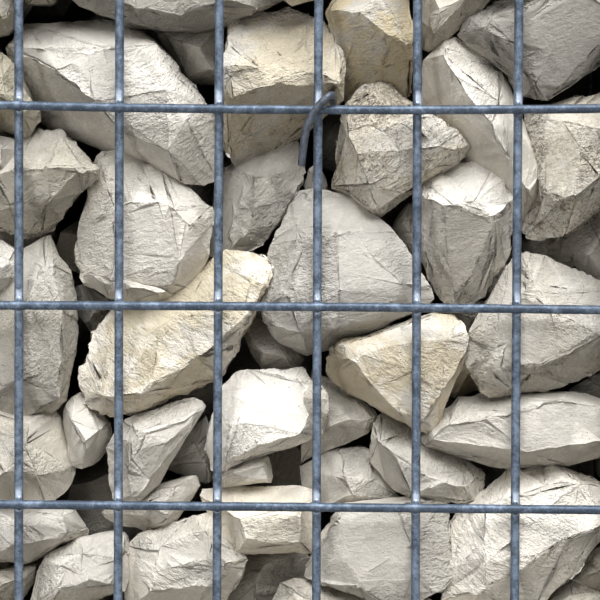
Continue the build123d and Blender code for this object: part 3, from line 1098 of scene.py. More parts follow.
        (346, 194, 28), (330, 188, 30), (331, 172, 30), (334, 159, 30), (339, 122, 30),
        (347, 131, 14), (359, 153, 6), (367, 184, 5), (372, 206, 14), (396, 118, 6),
        (400, 150, 1), (440, 146, 4), (404, 192, 9), (436, 168, 8), (458, 150, 9),
        (380, 208, 14), (376, 96, 18)]),
    "white topped block": ((0.15, 1.16, 0.0, 0.0), 0.0, 28, [
        (421, 175, 20), (429, 171, 22), (440, 167, 24), (457, 164, 26), (476, 161, 26),
        (492, 160, 26), (504, 163, 23), (511, 174, 19), (513, 195, 13), (511, 207, 13),
        (506, 222, 17), (504, 243, 21), (501, 259, 26), (493, 281, 31), (487, 293, 34),
        (474, 304, 36), (455, 308, 36), (440, 300, 36), (432, 286, 34), (422, 264, 30),
        (419, 230, 26), (419, 200, 22), (423, 196, 12), (444, 204, 4), (470, 204, 1),
        (496, 214, 2), (508, 202, 8), (441, 252, 21), (494, 250, 21), (468, 264, 22),
        (462, 296, 33), (482, 284, 32)]),
    "right pale": ((0.6, 1.02, 0.2, 0.9), 0.1, 6, [
        (524, 118, 26), (536, 108, 26), (549, 102, 26), (564, 97, 26), (583, 92, 26),
        (600, 90, 26), (626, 92, 26), (628, 196, 20), (600, 206, 16), (583, 216, 14),
        (566, 233, 18), (553, 241, 20), (543, 242, 24), (527, 238, 30), (522, 222, 32),
        (534, 180, 30), (538, 150, 26), (556, 120, 12), (546, 190, 12), (560, 210, 9),
        (580, 150, 3), (600, 176, 2), (572, 200, 3), (612, 130, 6)]),
    "dark right edge": ((0.5, 0.76, 0.0, 0.0), 0.0, 40, [
        (562, 240, 46), (580, 221, 42), (600, 207, 40), (626, 200, 40), (626, 288, 40),
        (600, 284, 42), (584, 277, 44), (570, 262, 46), (600, 240, 31), (588, 256, 33)]),
    "dark behind right": ((0.5, 0.74, 0.0, 0.0), 0.0, 10, [
        (506, 252, 50), (522, 236, 48), (546, 240, 44), (566, 236, 44), (576, 262, 44),
        (566, 282, 46), (520, 290, 50), (548, 254, 38)]),
    "rough right": ((0.4, 0.9, 0.1, 0.2), 0.0, -20, [
        (485, 314, 22), (492, 305, 24), (499, 294, 24), (502, 278, 26), (511, 260, 26),
        (521, 251, 26), (531, 250, 28), (545, 253, 28), (560, 261, 28), (577, 272, 26),
        (592, 281, 26), (620, 292, 26), (626, 340, 20), (606, 360, 20), (594, 374, 24),
        (568, 386, 26), (549, 389, 26), (522, 392, 24), (501, 400, 22), (493, 399, 20),
        (484, 393, 18), (476, 382, 18), (467, 369, 20), (467, 336, 22), (472, 328, 22),
        (500, 312, 6), (530, 285, 6), (497, 352, 3), (516, 372, 5), (541, 366, 2),
        (560, 352, 2), (604, 334, 4), (550, 310, 2), (490, 376, 8)]),
    "peeping right": ((0.5, 0.68, 0.0, 0.0), 0.0, 20, [
        (562, 398, 44), (574, 387, 42), (598, 373, 40), (626, 364, 40), (626, 408, 42),
        (600, 404, 44), (600, 388, 34)]),
    "peeping middle": ((0.5, 0.7, 0.0, 0.0), 0.0, 20, [
        (440, 306, 48), (470, 300, 46), (492, 300, 46), (478, 322, 46), (466, 334, 48),
        (452, 320, 48), (466, 312, 38)]),
    "ochre faced": ((0.6, 1.14, 0.75, 0.1), 0.05, -30, [
        (323, 358, 22), (324, 350, 22), (332, 343, 20), (342, 339, 18), (376, 328, 20),
        (407, 317, 22), (422, 313, 22), (440, 311, 22), (454, 312, 20), (460, 317, 18),
        (467, 331, 16), (468, 345, 16), (463, 364, 18), (457, 382, 20), (449, 396, 20),
        (444, 413, 20), (437, 433, 20), (431, 435, 20), (422, 431, 18), (411, 426, 16),
        (398, 420, 18), (375, 409, 24), (356, 398, 28), (340, 388, 28), (326, 374, 26),
        (341, 346, 9), (351, 358, 5), (374, 387, 4), (407, 343, 1), (412, 372, 1),
        (398, 411, 6), (424, 420, 6), (446, 340, 5), (440, 390, 6), (400, 326, 10)]),
    "right of white": ((0.4, 0.86, 0.0, 0.15), 0.0, 30, [
        (312, 370, 40), (332, 378, 38), (345, 390, 36), (378, 412, 34), (377, 424, 32),
        (371, 432, 32), (352, 442, 34), (322, 456, 36), (300, 464, 38), (296, 440, 40),
        (330, 430, 22), (352, 420, 22), (372, 420, 24), (326, 400, 28)]),
    "pinholed middle": ((0.35, 0.92, 0.0, 0.1), 0.0, 55, [
        (300, 466, 40), (322, 453, 38), (340, 447, 38), (364, 443, 38), (372, 450, 36),
        (373, 466, 32), (384, 484, 30), (398, 496, 30), (404, 504, 32), (346, 508, 32),
        (318, 508, 36), (302, 492, 40), (340, 470, 24), (352, 494, 22), (366, 476, 24)]),
    "crescent": ((0.4, 0.95, 0.0, 0.15), 0.0, 52, [
        (370, 436, 24), (376, 420, 28), (382, 414, 32), (398, 420, 34), (413, 426, 34),
        (424, 437, 34), (436, 450, 32), (463, 458, 32), (481, 469, 32), (487, 482, 30),
        (484, 491, 28), (472, 502, 26), (450, 506, 24), (408, 501, 20), (396, 492, 22),
        (386, 483, 24), (371, 461, 26), (369, 446, 26), (378, 440, 10), (392, 452, 6),
        (406, 470, 6), (412, 492, 7), (440, 480, 10), (462, 480, 14)]),
    "long slab right": ((0.45, 0.88, 0.0, 0.1), 0.0, -6, [
        (421, 442, 20), (422, 434, 22), (436, 432, 22), (443, 422, 24), (447, 409, 28),
        (459, 399, 32), (491, 391, 34), (520, 392, 32), (539, 391, 30), (568, 391, 28),
        (587, 395, 26), (626, 404, 26), (630, 448, 24), (600, 456, 26), (568, 466, 28),
        (539, 466, 28), (488, 467, 28), (472, 461, 26), (444, 454, 24), (434, 451, 22),
        (425, 448, 20), (432, 440, 8), (449, 424, 6), (480, 419, 4), (506, 416, 3),
        (530, 404, 6), (560, 402, 5), (604, 408, 6), (528, 452, 2), (550, 447, 1),
        (600, 440, 3), (490, 448, 5), (620, 436, 6)]),
    "bottom plate": ((0.35, 0.85, 0.0, 0.05), 0.0, 8, [
        (326, 538, 22), (329, 526, 24), (333, 515, 24), (345, 503, 24), (382, 499, 24),
        (403, 500, 24), (419, 494, 24), (440, 490, 22), (446, 498, 20), (450, 512, 20),
        (454, 540, 18), (455, 564, 18), (452, 576, 16), (445, 586, 14), (432, 593, 9),
        (419, 600, 8), (400, 606, 9), (364, 596, 8), (320, 585, 12), (303, 577, 22),
        (305, 566, 22), (324, 553, 22), (338, 514, 9), (402, 506, 6), (411, 546, 2),
        (411, 578, 3), (432, 587, 9), (350, 582, 3), (328, 574, 8)]),
    "bottom right giant": ((0.35, 1.42, 0.1, 0.05), 0.0, -28, [
        (450, 518, 24), (458, 510, 26), (472, 503, 26), (484, 491, 28), (508, 472, 30),
        (524, 466, 30), (549, 465, 30), (579, 474, 28), (597, 484, 28), (628, 494, 26),
        (628, 520, 22), (600, 534, 18), (594, 547, 18), (574, 574, 20), (556, 598, 22),
        (530, 622, 24), (460, 624, 26), (438, 600, 22), (440, 595, 20), (450, 586, 18),
        (455, 566, 18), (456, 545, 20), (453, 532, 22), (480, 520, 6), (500, 500, 7),
        (545, 484, 12), (580, 482, 12), (520, 568, 2), (540, 553, 1), (568, 540, 2),
        (602, 526, 8), (486, 560, 2), (480, 592, 5), (536, 520, 3)]),
    "bottom right corner": ((0.7, 0.85, 0.2, 0.2), 0.0, 30, [
        (570, 580, 34), (584, 562, 32), (600, 548, 30), (628, 538, 30), (628, 600, 30),
        (600, 590, 30), (580, 584, 32), (604, 568, 20)]),
    "bottom right speckled": ((0.6, 0.82, 0.2, 0.6), 0.0, 15, [
        (536, 606, 36), (556, 590, 34), (574, 576, 34), (600, 588, 34), (626, 600, 34),
        (620, 626, 36), (540, 626, 36), (580, 596, 24), (566, 612, 24)]),
}

# Stones that are coarser or smoother than the others
COARSE = {
    "white topped block": 0.75, "top right giant": 0.4, "top slab": 0.4, "pinholed top": 0.45,
    "behind ochre top": 0.3, "left rough": 0.5, "rough left": 0.4, "speckled stone": 0.5,
    "ochre faced": 0.35, "right pale": 0.3, "bottom right giant": 0.3, "yellow slope": 0.7,
    "rough right": 0.4, "ochre topped block": 0.3,
    "leaning slab": -0.25, "pale giant": -0.1, "bottom plate": -0.25, "strata left": -0.2,
    "small wedge": -0.3, "bright dart": -0.2, "white stone": -0.2, "long slab right": -0.1,
}
print(len(STONES), "stones placed by hand")

# %% [markdown]
# ## From corners to a stone
#
# The hull gives flat faces and knife edges. Real edges are chipped round over a millimetre or two,
# and real faces roll, ripple and step. So the hull's edges are bevelled and long edges are divided.
# Every point then moves along its normal by layers of noise: a slow roll, thin bedding steps, bowls
# where flakes were struck off, and ripples. Hidden sides stay coarse, which saves faces.

# %% Stone surface
STEP_START = 0.34
STEP_RUN = 0.32
MAX_FACET = 1.25
ZIGZAG = 0.65 * MM


def stone_frame(lean, generator):
    """A turn that gives a stone its own bedding direction."""
    bedding = Matrix.Rotation(math.radians(lean), 3, "Y")
    tip = Matrix.Rotation(generator.uniform(-0.5, 0.5), 3, "X")
    return bedding @ tip


def divide_long_edges(shape, length, fine_side):
    """Halves the edges that are too long until none is, by new corners in the faces round them."""
    for _ in range(7):
        shape.normal_update()
        long_edges = [
            edge for edge in shape.edges
            if edge.calc_length() > length * (1 if fine_side(edge) else 4)
        ]
        if not long_edges:
            break
        bmesh.ops.subdivide_edges(shape, edges=with_third_edges(long_edges), cuts=1)


def with_third_edges(long_edges):
    """Adds the last edge of each face that has all its others, so that a face divides evenly."""
    chosen = dict.fromkeys(long_edges)
    waiting = list(long_edges)
    while waiting:
        for face in waiting.pop().link_faces:
            others = [edge for edge in face.edges if edge not in chosen]
            if len(others) == 1:
                chosen[others[0]] = None
                waiting.append(others[0])
    return list(chosen)


def mark_facets(shape, turn, seed, coarse):
    """Gives every facet its own roughness, from 0 to a little over 1, by which way it faces."""
    layer = shape.faces.layers.float.new("facet")
    shift = grain_shift(seed)
    shape.normal_update()
    for face in shape.faces:
        value = noise.noise(turn @ face.normal * 1.9 + shift * 5) * 2.6 + 0.5 + coarse
        face[layer] = min(max(value, 0.0), MAX_FACET)


def facet_roughness(shape):
    """The roughness at each vertex, from the facets round it."""
    layer = shape.faces.layers.float["facet"]
    return [sum(f[layer] for f in v.link_faces) / max(len(v.link_faces), 1) for v in shape.verts]


def break_up(shape, centre, turn, seed, amount):
    """Shifts points a little every way, so that ridges zigzag and rough facets break into small ones."""
    shift = grain_shift(seed)
    shape.normal_update()
    shares = []
    for vert, rough in zip(shape.verts, facet_roughness(shape)):
        sharp = max((edge.calc_face_angle(0.0) for edge in vert.link_edges), default=0.0)
        shares.append(0.3 + 1.2 * rough + 1.6 * min(sharp, 0.8))
    for vert, share in zip(shape.verts, shares):
        local = turn @ (vert.co - centre) + shift
        vert.co += noise.noise_vector(local * 140) * share * amount


def grain_shift(seed):
    """A shift of the grain that differs from stone to stone, small enough to stay exact."""
    generator = random.Random(seed)
    return Vector(generator.uniform(-2, 2) for _ in range(3))


def stepped(value):
    """Rounds a value towards whole numbers, and leaves short slopes between them."""
    whole = math.floor(value)
    part = min(max((value - whole - STEP_START) / STEP_RUN, 0.0), 1.0)
    return whole + part * part * (3 - 2 * part)


def roughen(shape, centre, turn, seed, roll, step, scar, ripple):
    """Moves every point along its normal by layered noise in the stone's own frame."""
    shift = grain_shift(seed)
    shape.normal_update()
    moves = []
    for vert, rough in zip(shape.verts, facet_roughness(shape)):
        local = turn @ (vert.co - centre) + shift
        slow = noise.noise(local * 38) * roll
        flat = Vector((local.x * 24, local.y * 24, local.z * 60))
        ragged = noise.fractal(local * 170, 0.8, 2.1, 2) * 0.22
        layers = (stepped(noise.noise(flat) * 3.2 + ragged) / 3.2) * step * (0.12 + rough)
        wobbly = local * 70 + noise.noise_vector(local * 150) * 0.3
        distances, _ = noise.voronoi(wobbly)
        bowl = (min(distances[0], 0.9) - 0.45) * scar * (0.15 + rough)
        fine = noise.fractal(local * 230, 0.7, 2.1, 2) * ripple * (0.3 + rough)
        moves.append(vert.normal * (slow + layers + bowl + fine))
    for vert, move in zip(shape.verts, moves):
        vert.co += move


def paint(shape, centre, turn, seed, look, green):
    """Writes grain, look, and edge wear with painted depth shade, green and roughness for the limestone.
    """
    grain = shape.verts.layers.float_vector.new("grain")
    looks = shape.verts.layers.float_color.new("look")
    wear = shape.verts.layers.float_color.new("wear")
    shift = grain_shift(seed)
    shape.normal_update()
    for vert, rough in zip(shape.verts, facet_roughness(shape)):
        bends = [edge.calc_face_angle_signed(0.0) for edge in vert.link_edges]
        edge_wear = min(max(sum(bends) / max(len(bends), 1) * 1.6, 0.0), 1.0)
        vert[grain] = turn @ (vert.co - centre) + shift
        vert[looks] = look
        vert[wear] = (edge_wear, buried_share(vert.co), green, rough)


fill_boxes = [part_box(node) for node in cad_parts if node.startswith("stone_fill")]
FILL_LOW = Vector(min(box[0][i] for box in fill_boxes) for i in range(3))
FILL_HIGH = Vector(max(box[1][i] for box in fill_boxes) for i in range(3))
# Where the painted shade of deep stones begins and where it is full
SHADE_START_DEPTH = 26 * MM
SHADE_FULL_DEPTH = 72 * MM


def buried_share(place):
    """0 at the mesh and 1 deep in the stone, where the colour is painted darker as shade."""
    depth = min(
        place.y - FILL_LOW.y, FILL_HIGH.y - place.y,
        place.x - FILL_LOW.x, FILL_HIGH.x - place.x, FILL_HIGH.z - place.z,
    )
    share = min(max((depth - SHADE_START_DEPTH) / (SHADE_FULL_DEPTH - SHADE_START_DEPTH), 0.0), 1.0)
    return share * share * (3 - 2 * share)


print("stones fill", [round(v, 4) for v in FILL_LOW], "to", [round(v, 4) for v in FILL_HIGH])

# %% [markdown]
# The hull of each placed stone is kept, because the stones round it must not cut into it.

# %% Placed stones
BACK_SHRINK = 0.66
BACK_DEPTH = 22 * MM
CLOSE_EDGE = 1.35 * MM
FIRST_EDGE = 7.0 * MM
CRISP_ANGLE = math.radians(34)
SAME_PLACE = 0.4 * MM
FLAT_ANGLE = math.radians(4)
PLACED_CHIPS = (14, 2.4 * MM)
PLACED_BEVEL = 0.7 * MM

# Relief: slow roll, bedding steps, bowls and ripples
PLACED_RELIEF = (1.2 * MM, 2.6 * MM, 2.0 * MM, 0.8 * MM)
NO_RELIEF = (0, 0, 0, 0)

# A stone that is at least this wide in the picture gets all of its relief
FULL_RELIEF_WIDTH = 110


def placed_corners(points):
    """The corners in the wall, with a drawn-in back behind them."""
    front = [picture_point(x, y, FACE_Y + depth * MM) for x, y, depth in points]
    middle = sum(front, Vector()) / len(front)
    deepest = max(corner.y for corner in front)
    back = []
    for corner in front:
        drawn = middle.lerp(corner, BACK_SHRINK)
        back.append(Vector((drawn.x, deepest + BACK_DEPTH, drawn.z)))
    return front + back


def hull_shape(corners):
    """A closed convex stone through the outer corners."""
    shape = bmesh.new()
    for corner in corners:
        shape.verts.new(corner)
    bmesh.ops.remove_doubles(shape, verts=shape.verts, dist=SAME_PLACE)
    made = bmesh.ops.convex_hull(shape, input=shape.verts)
    loose = [v for v in made["geom_interior"] + made["geom_unused"] if v.is_valid]
    bmesh.ops.delete(shape, geom=list(dict.fromkeys(loose)), context="VERTS")
    shape = in_fixed_order(shape)
    bmesh.ops.dissolve_limit(
        shape, angle_limit=FLAT_ANGLE, verts=shape.verts, edges=shape.edges)
    return shape


def in_fixed_order(shape):
    """The same shape with its corners and faces sorted, because a hull gives them in any order."""
    corners = sorted(tuple(vert.co) for vert in shape.verts)
    numbers = {corner: number for number, corner in enumerate(corners)}
    rings = []
    for face in shape.faces:
        ring = [numbers[tuple(vert.co)] for vert in face.verts]
        first = ring.index(min(ring))
        rings.append(ring[first:] + ring[:first])
    shape.free()
    made = bmesh.new()
    verts = [made.verts.new(corner) for corner in corners]
    for ring in sorted(rings):
        made.faces.new([verts[number] for number in ring])
    made.normal_update()
    return made


def cut_flat(shape, place, way):
    """Cuts away the part of a closed convex stone beyond a plane, and closes the hole."""
    made = bmesh.ops.bisect_plane(
        shape, geom=[*shape.verts, *shape.edges, *shape.faces], dist=1e-6,
        plane_co=place, plane_no=way, clear_outer=True,
    )
    rim = [part for part in made["geom_cut"] if isinstance(part, bmesh.types.BMEdge)]
    if len(rim) >= 3:
        bmesh.ops.holes_fill(shape, edges=rim, sides=0)


def knock_off_chips(shape, generator, count, depth):
    """Breaks bits off the stone's edges by small flat cuts."""
    for _ in range(count):
        shape.normal_update()
        sharp = [edge for edge in shape.edges if edge.calc_face_angle(0.0) > math.radians(18)]
        if not sharp:
            return
        edge = generator.choice(sharp)
        outward = (edge.link_faces[0].normal + edge.link_faces[1].normal).normalized()
        first, second = (vert.co for vert in edge.verts)
        along = (first - second).normalized()
        across = outward.cross(along)
        way = outward + along * generator.uniform(-0.1, 0.1) + across * generator.uniform(-0.3, 0.3)
        taken = depth * generator.uniform(0.3, 1.0) * math.sin(edge.calc_face_angle(0.0) / 2)
        place = first.lerp(second, generator.uniform(0.1, 0.9)) - outward * taken
        cut_flat(shape, place, way.normalized())


def chip_edges(shape, width):
    """Blunts the stone's edges by a bevel, and makes its hull again, which is closed and clean."""
    shape.normal_update()
    sharp = [edge for edge in shape.edges if edge.calc_face_angle(0.0) > math.radians(12)]
    bmesh.ops.bevel(
        shape, geom=sharp, offset=width, offset_type="OFFSET", segments=1,
        profile=0.5, affect="EDGES", material=-1, clamp_overlap=True,
    )
    return closed_hull(shape)


def closed_hull(shape):
    """The triangulated hull of a convex shape, in place of it."""
    corners = sorted(tuple(vert.co) for vert in shape.verts)
    shape.free()
    hull = hull_shape(corners)
    bmesh.ops.triangulate(hull, faces=hull.faces)
    return hull


def finish_stone(shape, name, turn, seed, look, green, edge_length, fine_side, rough):
    """Chips, divides, roughens and paints one stone, and makes its mesh."""
    centre = sum((v.co for v in shape.verts), Vector()) / len(shape.verts)
    mark_facets(shape, turn, seed, COARSE.get(name, 0.0))
    if edge_length < FIRST_EDGE * 1.5:
        divide_long_edges(shape, FIRST_EDGE, fine_side)
        break_up(shape, centre, turn, seed, ZIGZAG)
    divide_long_edges(shape, edge_length, fine_side)
    roughen(shape, centre, turn, seed, *rough)
    paint(shape, centre, turn, seed, look, green)
    bmesh.ops.recalc_face_normals(shape, faces=shape.faces)
    mesh = bpy.data.meshes.new(name)
    shape.to_mesh(mesh)
    shape.free()
    return mesh


def towards_camera(edge):
    """Whether an edge lies on a side that the close view can see."""
    return any(face.normal.y < 0.12 for face in edge.link_faces)


def relief_share(points):
    """Less relief on a stone that is narrow in the picture."""
    widths = [max(point[i] for point in points) - min(point[i] for point in points) for i in (0, 1)]
    return min(1.0, min(widths) / FULL_RELIEF_WIDTH)


def placed_stone(name, number):
    """The corners and the finished mesh of one stone that the picture shows."""
    look, green, lean, points = STONES[name]
    generator = random.Random(number)
    corners = placed_corners(points)
    shape = hull_shape(corners)
    knock_off_chips(shape, generator, *PLACED_CHIPS)
    shape = chip_edges(shape, PLACED_BEVEL)
    turn = stone_frame(lean, generator)
    coarser = 1 + 0.6 * max(COARSE.get(name, 0), 0)
    relief = [amount * relief_share(points) * coarser for amount in PLACED_RELIEF]
    mesh = finish_stone(
        shape, name, turn, number + 1, look, green, CLOSE_EDGE, towards_camera, relief)
    return corners, mesh


def join_stones(name, meshes, replaced):
    """Joins stones into one piece of the wall, smooth but for its sharper edges."""
    total = bmesh.new()
    for mesh in meshes:
        add_mesh(total, mesh)
    for face in total.faces:
        face.smooth = True
    for edge in total.edges:
        edge.smooth = edge.calc_face_angle(0.0) < CRISP_ANGLE
    mesh = bpy.data.meshes.new(name)
    total.to_mesh(mesh)
    total.free()
    triangles = count_triangles(mesh)
    show(name, mesh, LIMESTONE, replaced)
    print(name, triangles, "triangles")
    return triangles


obstacles = []
placed_meshes = {"upper": [], "lower": []}
for number, name in enumerate(STONES):
    corners, mesh = placed_stone(name, number)
    obstacles.append(corners)
    downs = [point[1] for point in STONES[name][3]]
    half = "upper" if sum(downs) / len(downs) < PICTURE / 2 else "lower"
    placed_meshes[half].append(mesh)
stone_triangles = 0
for part, meshes in placed_meshes.items():
    stone_triangles += join_stones("near_stones_" + part, meshes, ["stone_fill_upper_left"])
print("placed stones", stone_triangles, "triangles")

# %% [markdown]
# ## The rest of the stone
#
# About two thousand stones fill the baskets, and nobody places those by hand. Middles are thrown
# in at random, the biggest first, and kept where there is room. Each starts as an angular lump and
# is cut flat against its neighbours, so the stones touch along faces as hand-packed ones do and
# leave small dark gaps. Only the stones at a face get a worked surface; the ones inside are plain.

# %% Throw the stones
# Radii in mm with the number of tries, how much they vary, and how close two stones may lie
SIZES = ((45, 700), (39, 1100), (34, 1700), (29, 2300), (24, 3000), (19, 3600), (15, 3000))
SIZE_SPREAD = (0.9, 1.1)
CLOSENESS = 0.84
CELL = 95 * MM
STONE_GAP = 0.6 * MM

# The share thrown at a face, how far inwards in radii, and how near a face a stone shows
FACE_SHARE = 0.7
FACE_INWARD = (0.38, 0.75)
SHOWN_REACH = 1.45

# The room that a placed stone has to leave, in radii
LEAST_ROOM = 0.45

BORDER = 25
PICTURE_CORNERS = (
    picture_point(-BORDER, PICTURE + BORDER, FACE_Y),
    picture_point(PICTURE + BORDER, -BORDER, FACE_Y),
)
PLACED_DEPTH = 50 * MM

OBSTACLE_BALLS = []
for corners in obstacles:
    middle = sum(corners, Vector()) / len(corners)
    reach = max((corner - middle).length for corner in corners)
    OBSTACLE_BALLS.append((middle, reach, corners))


def in_front_of_placed(place):
    """Whether a place lies in the picture and no deeper than the listed stones."""
    low, high = PICTURE_CORNERS
    inside = low.x < place.x < high.x and low.z < place.z < high.z
    return inside and place.y < FACE_Y + PLACED_DEPTH


def best_plane(middle, ball):
    """The flat cut between a stone and a placed one that leaves the stone the most room."""
    ball_middle, _, corners = ball
    nearest = min(corners, key=lambda corner: (corner - middle).length_squared)
    ways = [ball_middle - middle, nearest - middle, Vector((0, -1, 0))]
    ways += [Vector((1, 0, 0)), Vector((-1, 0, 0)), Vector((0, 0, 1)), Vector((0, 0, -1))]
    best = None
    for way in ways:
        if way.length < 1e-6:
            continue
        way = way.normalized()
        room = min(way.dot(corner - middle) for corner in corners)
        if best is None or room > best[0]:
            best = (room, way)
    return best


@dataclass
class Stone:
    """One stone to be made: where it is, how big, where it shows and the cuts that bound it."""

    middle: Vector
    radius: float
    faces: list
    cuts: list


def cell_of(place):
    """The numbers of the grid cell that a place lies in."""
    return tuple(int(part // CELL) for part in place)


def near_cells(grid, place):
    """The stones in the cell of a place and in the cells round it."""
    centre = cell_of(place)
    for i in range(-1, 2):
        for j in range(-1, 2):
            for k in range(-1, 2):
                yield from grid.get((centre[0] + i, centre[1] + j, centre[2] + k), ())


def random_place(low, high, shown, radius, generator):
    """A place in the basket, mostly just behind one of the faces that show."""
    inset = radius / 3
    place = Vector(generator.uniform(low[i] + inset, high[i] - inset) for i in range(3))
    if generator.random() < FACE_SHARE:
        axis, side = generator.choice(shown)
        inward = radius * generator.uniform(*FACE_INWARD)
        place[axis] = high[axis] - inward if side > 0 else low[axis] + inward
    return place


def crowded(grid, place, radius):
    """Whether a stone here would lie too close to one that is already there."""
    return any((other.middle - place).length < (other.radius + radius) * CLOSENESS
               for other in near_cells(grid, place))


def cuts_at_placed(place, radius):
    """The flat cuts that keep a stone off the placed ones, or None if they leave too little room."""
    cuts = []
    for ball in OBSTACLE_BALLS:
        if (ball[0] - place).length > ball[1] + radius * 1.2:
            continue
        room, way = best_plane(place, ball)
        if room < radius * LEAST_ROOM:
            return None
        cuts.append((place + way * (room - STONE_GAP), way))
    return cuts


def throw_stones(low, high, shown, generator):
    """Fills one basket. shown lists the faces that can be seen, as axis and side."""
    grid = {}
    stones = []
    for size, tries in SIZES:
        for _ in range(tries):
            radius = size * MM * generator.uniform(*SIZE_SPREAD)
            place = random_place(low, high, shown, radius, generator)
            if in_front_of_placed(place) or crowded(grid, place, radius):
                continue
            cuts = cuts_at_placed(place, radius)
            if cuts is None:
                continue
            faces = [(a, s) for a, s in shown
                     if (high[a] - place[a] if s > 0 else place[a] - low[a]) < radius * SHOWN_REACH]
            stone = Stone(place, radius, faces, cuts)
            grid.setdefault(cell_of(place), []).append(stone)
            stones.append(stone)
    return stones, grid


def shown_faces(node):
    """The faces of a basket's stone that can be seen from outside."""
    faces = [(1, -1), (1, 1), (0, -1 if node.endswith("left") else 1)]
    if "upper" in node:
        faces.append((2, 1))
    return faces


BASKETS = {}
for number, node in enumerate(n for n in sorted(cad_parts) if n.startswith("stone_fill")):
    low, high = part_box(node)
    generator = random.Random(40 + number)
    BASKETS[node] = throw_stones(Vector(low), Vector(high), shown_faces(node), generator)
    thrown = BASKETS[node][0]
    print(node, len(thrown), "stones,", sum(1 for stone in thrown if stone.faces), "shown")

# %% [markdown]
# A lump starts from points spread over a ball that is squashed at random. Each cut keeps the side
# with the middle and closes the hole. Stones at a face are also cut by a slightly tilted plane a
# few millimetres behind the mesh, because a mason turns a flat side outwards.

# %% Cut and finish the stones
LUMP_POINTS = 15
LUMP_GROWTH = 1.16
GOLDEN_ANGLE = 2.39996
FAR_EDGE = 15 * MM
# Painted shade: stones that show at the top are darkened, because the lamp above lights the top most
TOP_PAINTED_SHADE = 0.84

# The share of stones with a flat side at the mesh, its tilt, and how many mm behind the mesh it is
FLAT_SHARE = 0.85
FLAT_TILT = 0.2
FLAT_BEHIND = (0.5, 7.0)
MESH_GAP = 0.5 * MM

# The share of stones with a strong mark, and the ranges of strong and faint marks
STAINED = (0.16, (0.5, 1.0), (0.0, 0.25))
SPECKLED = (0.13, (0.4, 1.0), (0.0, 0.2))
GREEN_SHARE = 0.12
GREEN_RANGE = (0.3, 0.9)
BRIGHT_RANGE = (0.76, 1.02)

FILL_CHIPS = (3, 4 * MM)
FILL_BEVEL = 1.2 * MM
FILL_RELIEF = (1.4 * MM, 1.8 * MM, 1.8 * MM, 0.5 * MM)


def lump(stone, generator):
    """An angular lump about a stone's middle."""
    squash = Vector(generator.uniform(0.82, 1.18) for _ in range(3))
    tilt = Matrix.Rotation(generator.uniform(0, math.tau), 3, Vector(
        generator.gauss(0, 1) for _ in range(3)).normalized())
    corners = []
    for i in range(LUMP_POINTS):
        height = 1 - 2 * (i + 0.5) / LUMP_POINTS
        ring = math.sqrt(1 - height * height)
        angle = i * GOLDEN_ANGLE + generator.uniform(-0.45, 0.45)
        point = Vector((ring * math.cos(angle), ring * math.sin(angle), height))
        point = tilt @ (point * squash) * stone.radius * LUMP_GROWTH * generator.uniform(0.85, 1.12)
        corners.append(stone.middle + point)
    return hull_shape(corners)


def neighbour_cuts(stone, grid):
    """Flat cuts halfway to each neighbour, nearer to the smaller one."""
    for other in near_cells(grid, stone.middle):
        if other is stone:
            continue
        apart = other.middle - stone.middle
        distance = apart.length
        if distance > (stone.radius + other.radius) * LUMP_GROWTH * 1.2:
            continue
        share = (distance ** 2 + stone.radius ** 2 - other.radius ** 2) / (2 * distance)
        way = apart / distance
        yield stone.middle + way * (share - STONE_GAP), way


def face_cuts(stone, low, high, generator):
    """The cuts at a basket's sides: the inside of the mesh, and a tilted one just behind it."""
    for axis in range(3):
        for side, limit in ((-1, low[axis]), (1, high[axis])):
            way = Vector((0, 0, 0))
            way[axis] = side
            place = stone.middle.copy()
            place[axis] = limit - side * MESH_GAP
            yield place, way
            if (axis, side) in stone.faces and generator.random() < FLAT_SHARE:
                tilted = way + Vector(generator.gauss(0, FLAT_TILT) for _ in range(3))
                deeper = place.copy()
                deeper[axis] -= side * generator.uniform(*FLAT_BEHIND) * MM
                yield deeper, tilted.normalized()


def random_mark(generator, share, strong, faint):
    """A strong mark on a share of the stones, and a faint one on the others."""
    return generator.uniform(*(strong if generator.random() < share else faint))


def random_look(generator):
    """Warmth, brightness, stain and speckle, and green."""
    stain = random_mark(generator, *STAINED)
    speckle = random_mark(generator, *SPECKLED)
    green = generator.uniform(*GREEN_RANGE) if generator.random() < GREEN_SHARE else 0.0
    return (generator.random(), generator.uniform(*BRIGHT_RANGE), stain, speckle), green


def fill_stone(stone, grid, low, high, generator, number):
    """The finished mesh of one filling stone, or None if the cuts leave too little."""
    shape = lump(stone, generator)
    cuts = [*stone.cuts, *neighbour_cuts(stone, grid), *face_cuts(stone, low, high, generator)]
    for place, way in cuts:
        cut_flat(shape, place, way)
    if len(shape.faces) < 5:
        shape.free()
        return None
    turn = stone_frame(generator.uniform(0, 180), generator)
    look, green = random_look(generator)
    # Painted shade on the top of the wall, against the strong light from above
    if (2, 1) in stone.faces:
        look = (look[0], look[1] * TOP_PAINTED_SHADE, *look[2:])
    name = "stone " + str(number)
    if not stone.faces:
        return finish_stone(
            closed_hull(shape), name, turn, number, look, green, 1.0, lambda edge: True, NO_RELIEF)
    bmesh.ops.remove_doubles(shape, verts=shape.verts, dist=1.5 * MM)
    bmesh.ops.dissolve_limit(
        shape, angle_limit=math.radians(5), verts=shape.verts, edges=shape.edges)
    knock_off_chips(shape, generator, *FILL_CHIPS)
    bmesh.ops.remove_doubles(shape, verts=shape.verts, dist=2.5 * MM)
    shape = chip_edges(shape, FILL_BEVEL)

    def outer(edge):
        """Whether an edge lies on a side that shows."""
        return any(face.normal[axis] * side > -0.2 for face in edge.link_faces
                   for axis, side in stone.faces)

    return finish_stone(
        shape, name, turn, number, look, green, FAR_EDGE, outer, FILL_RELIEF)


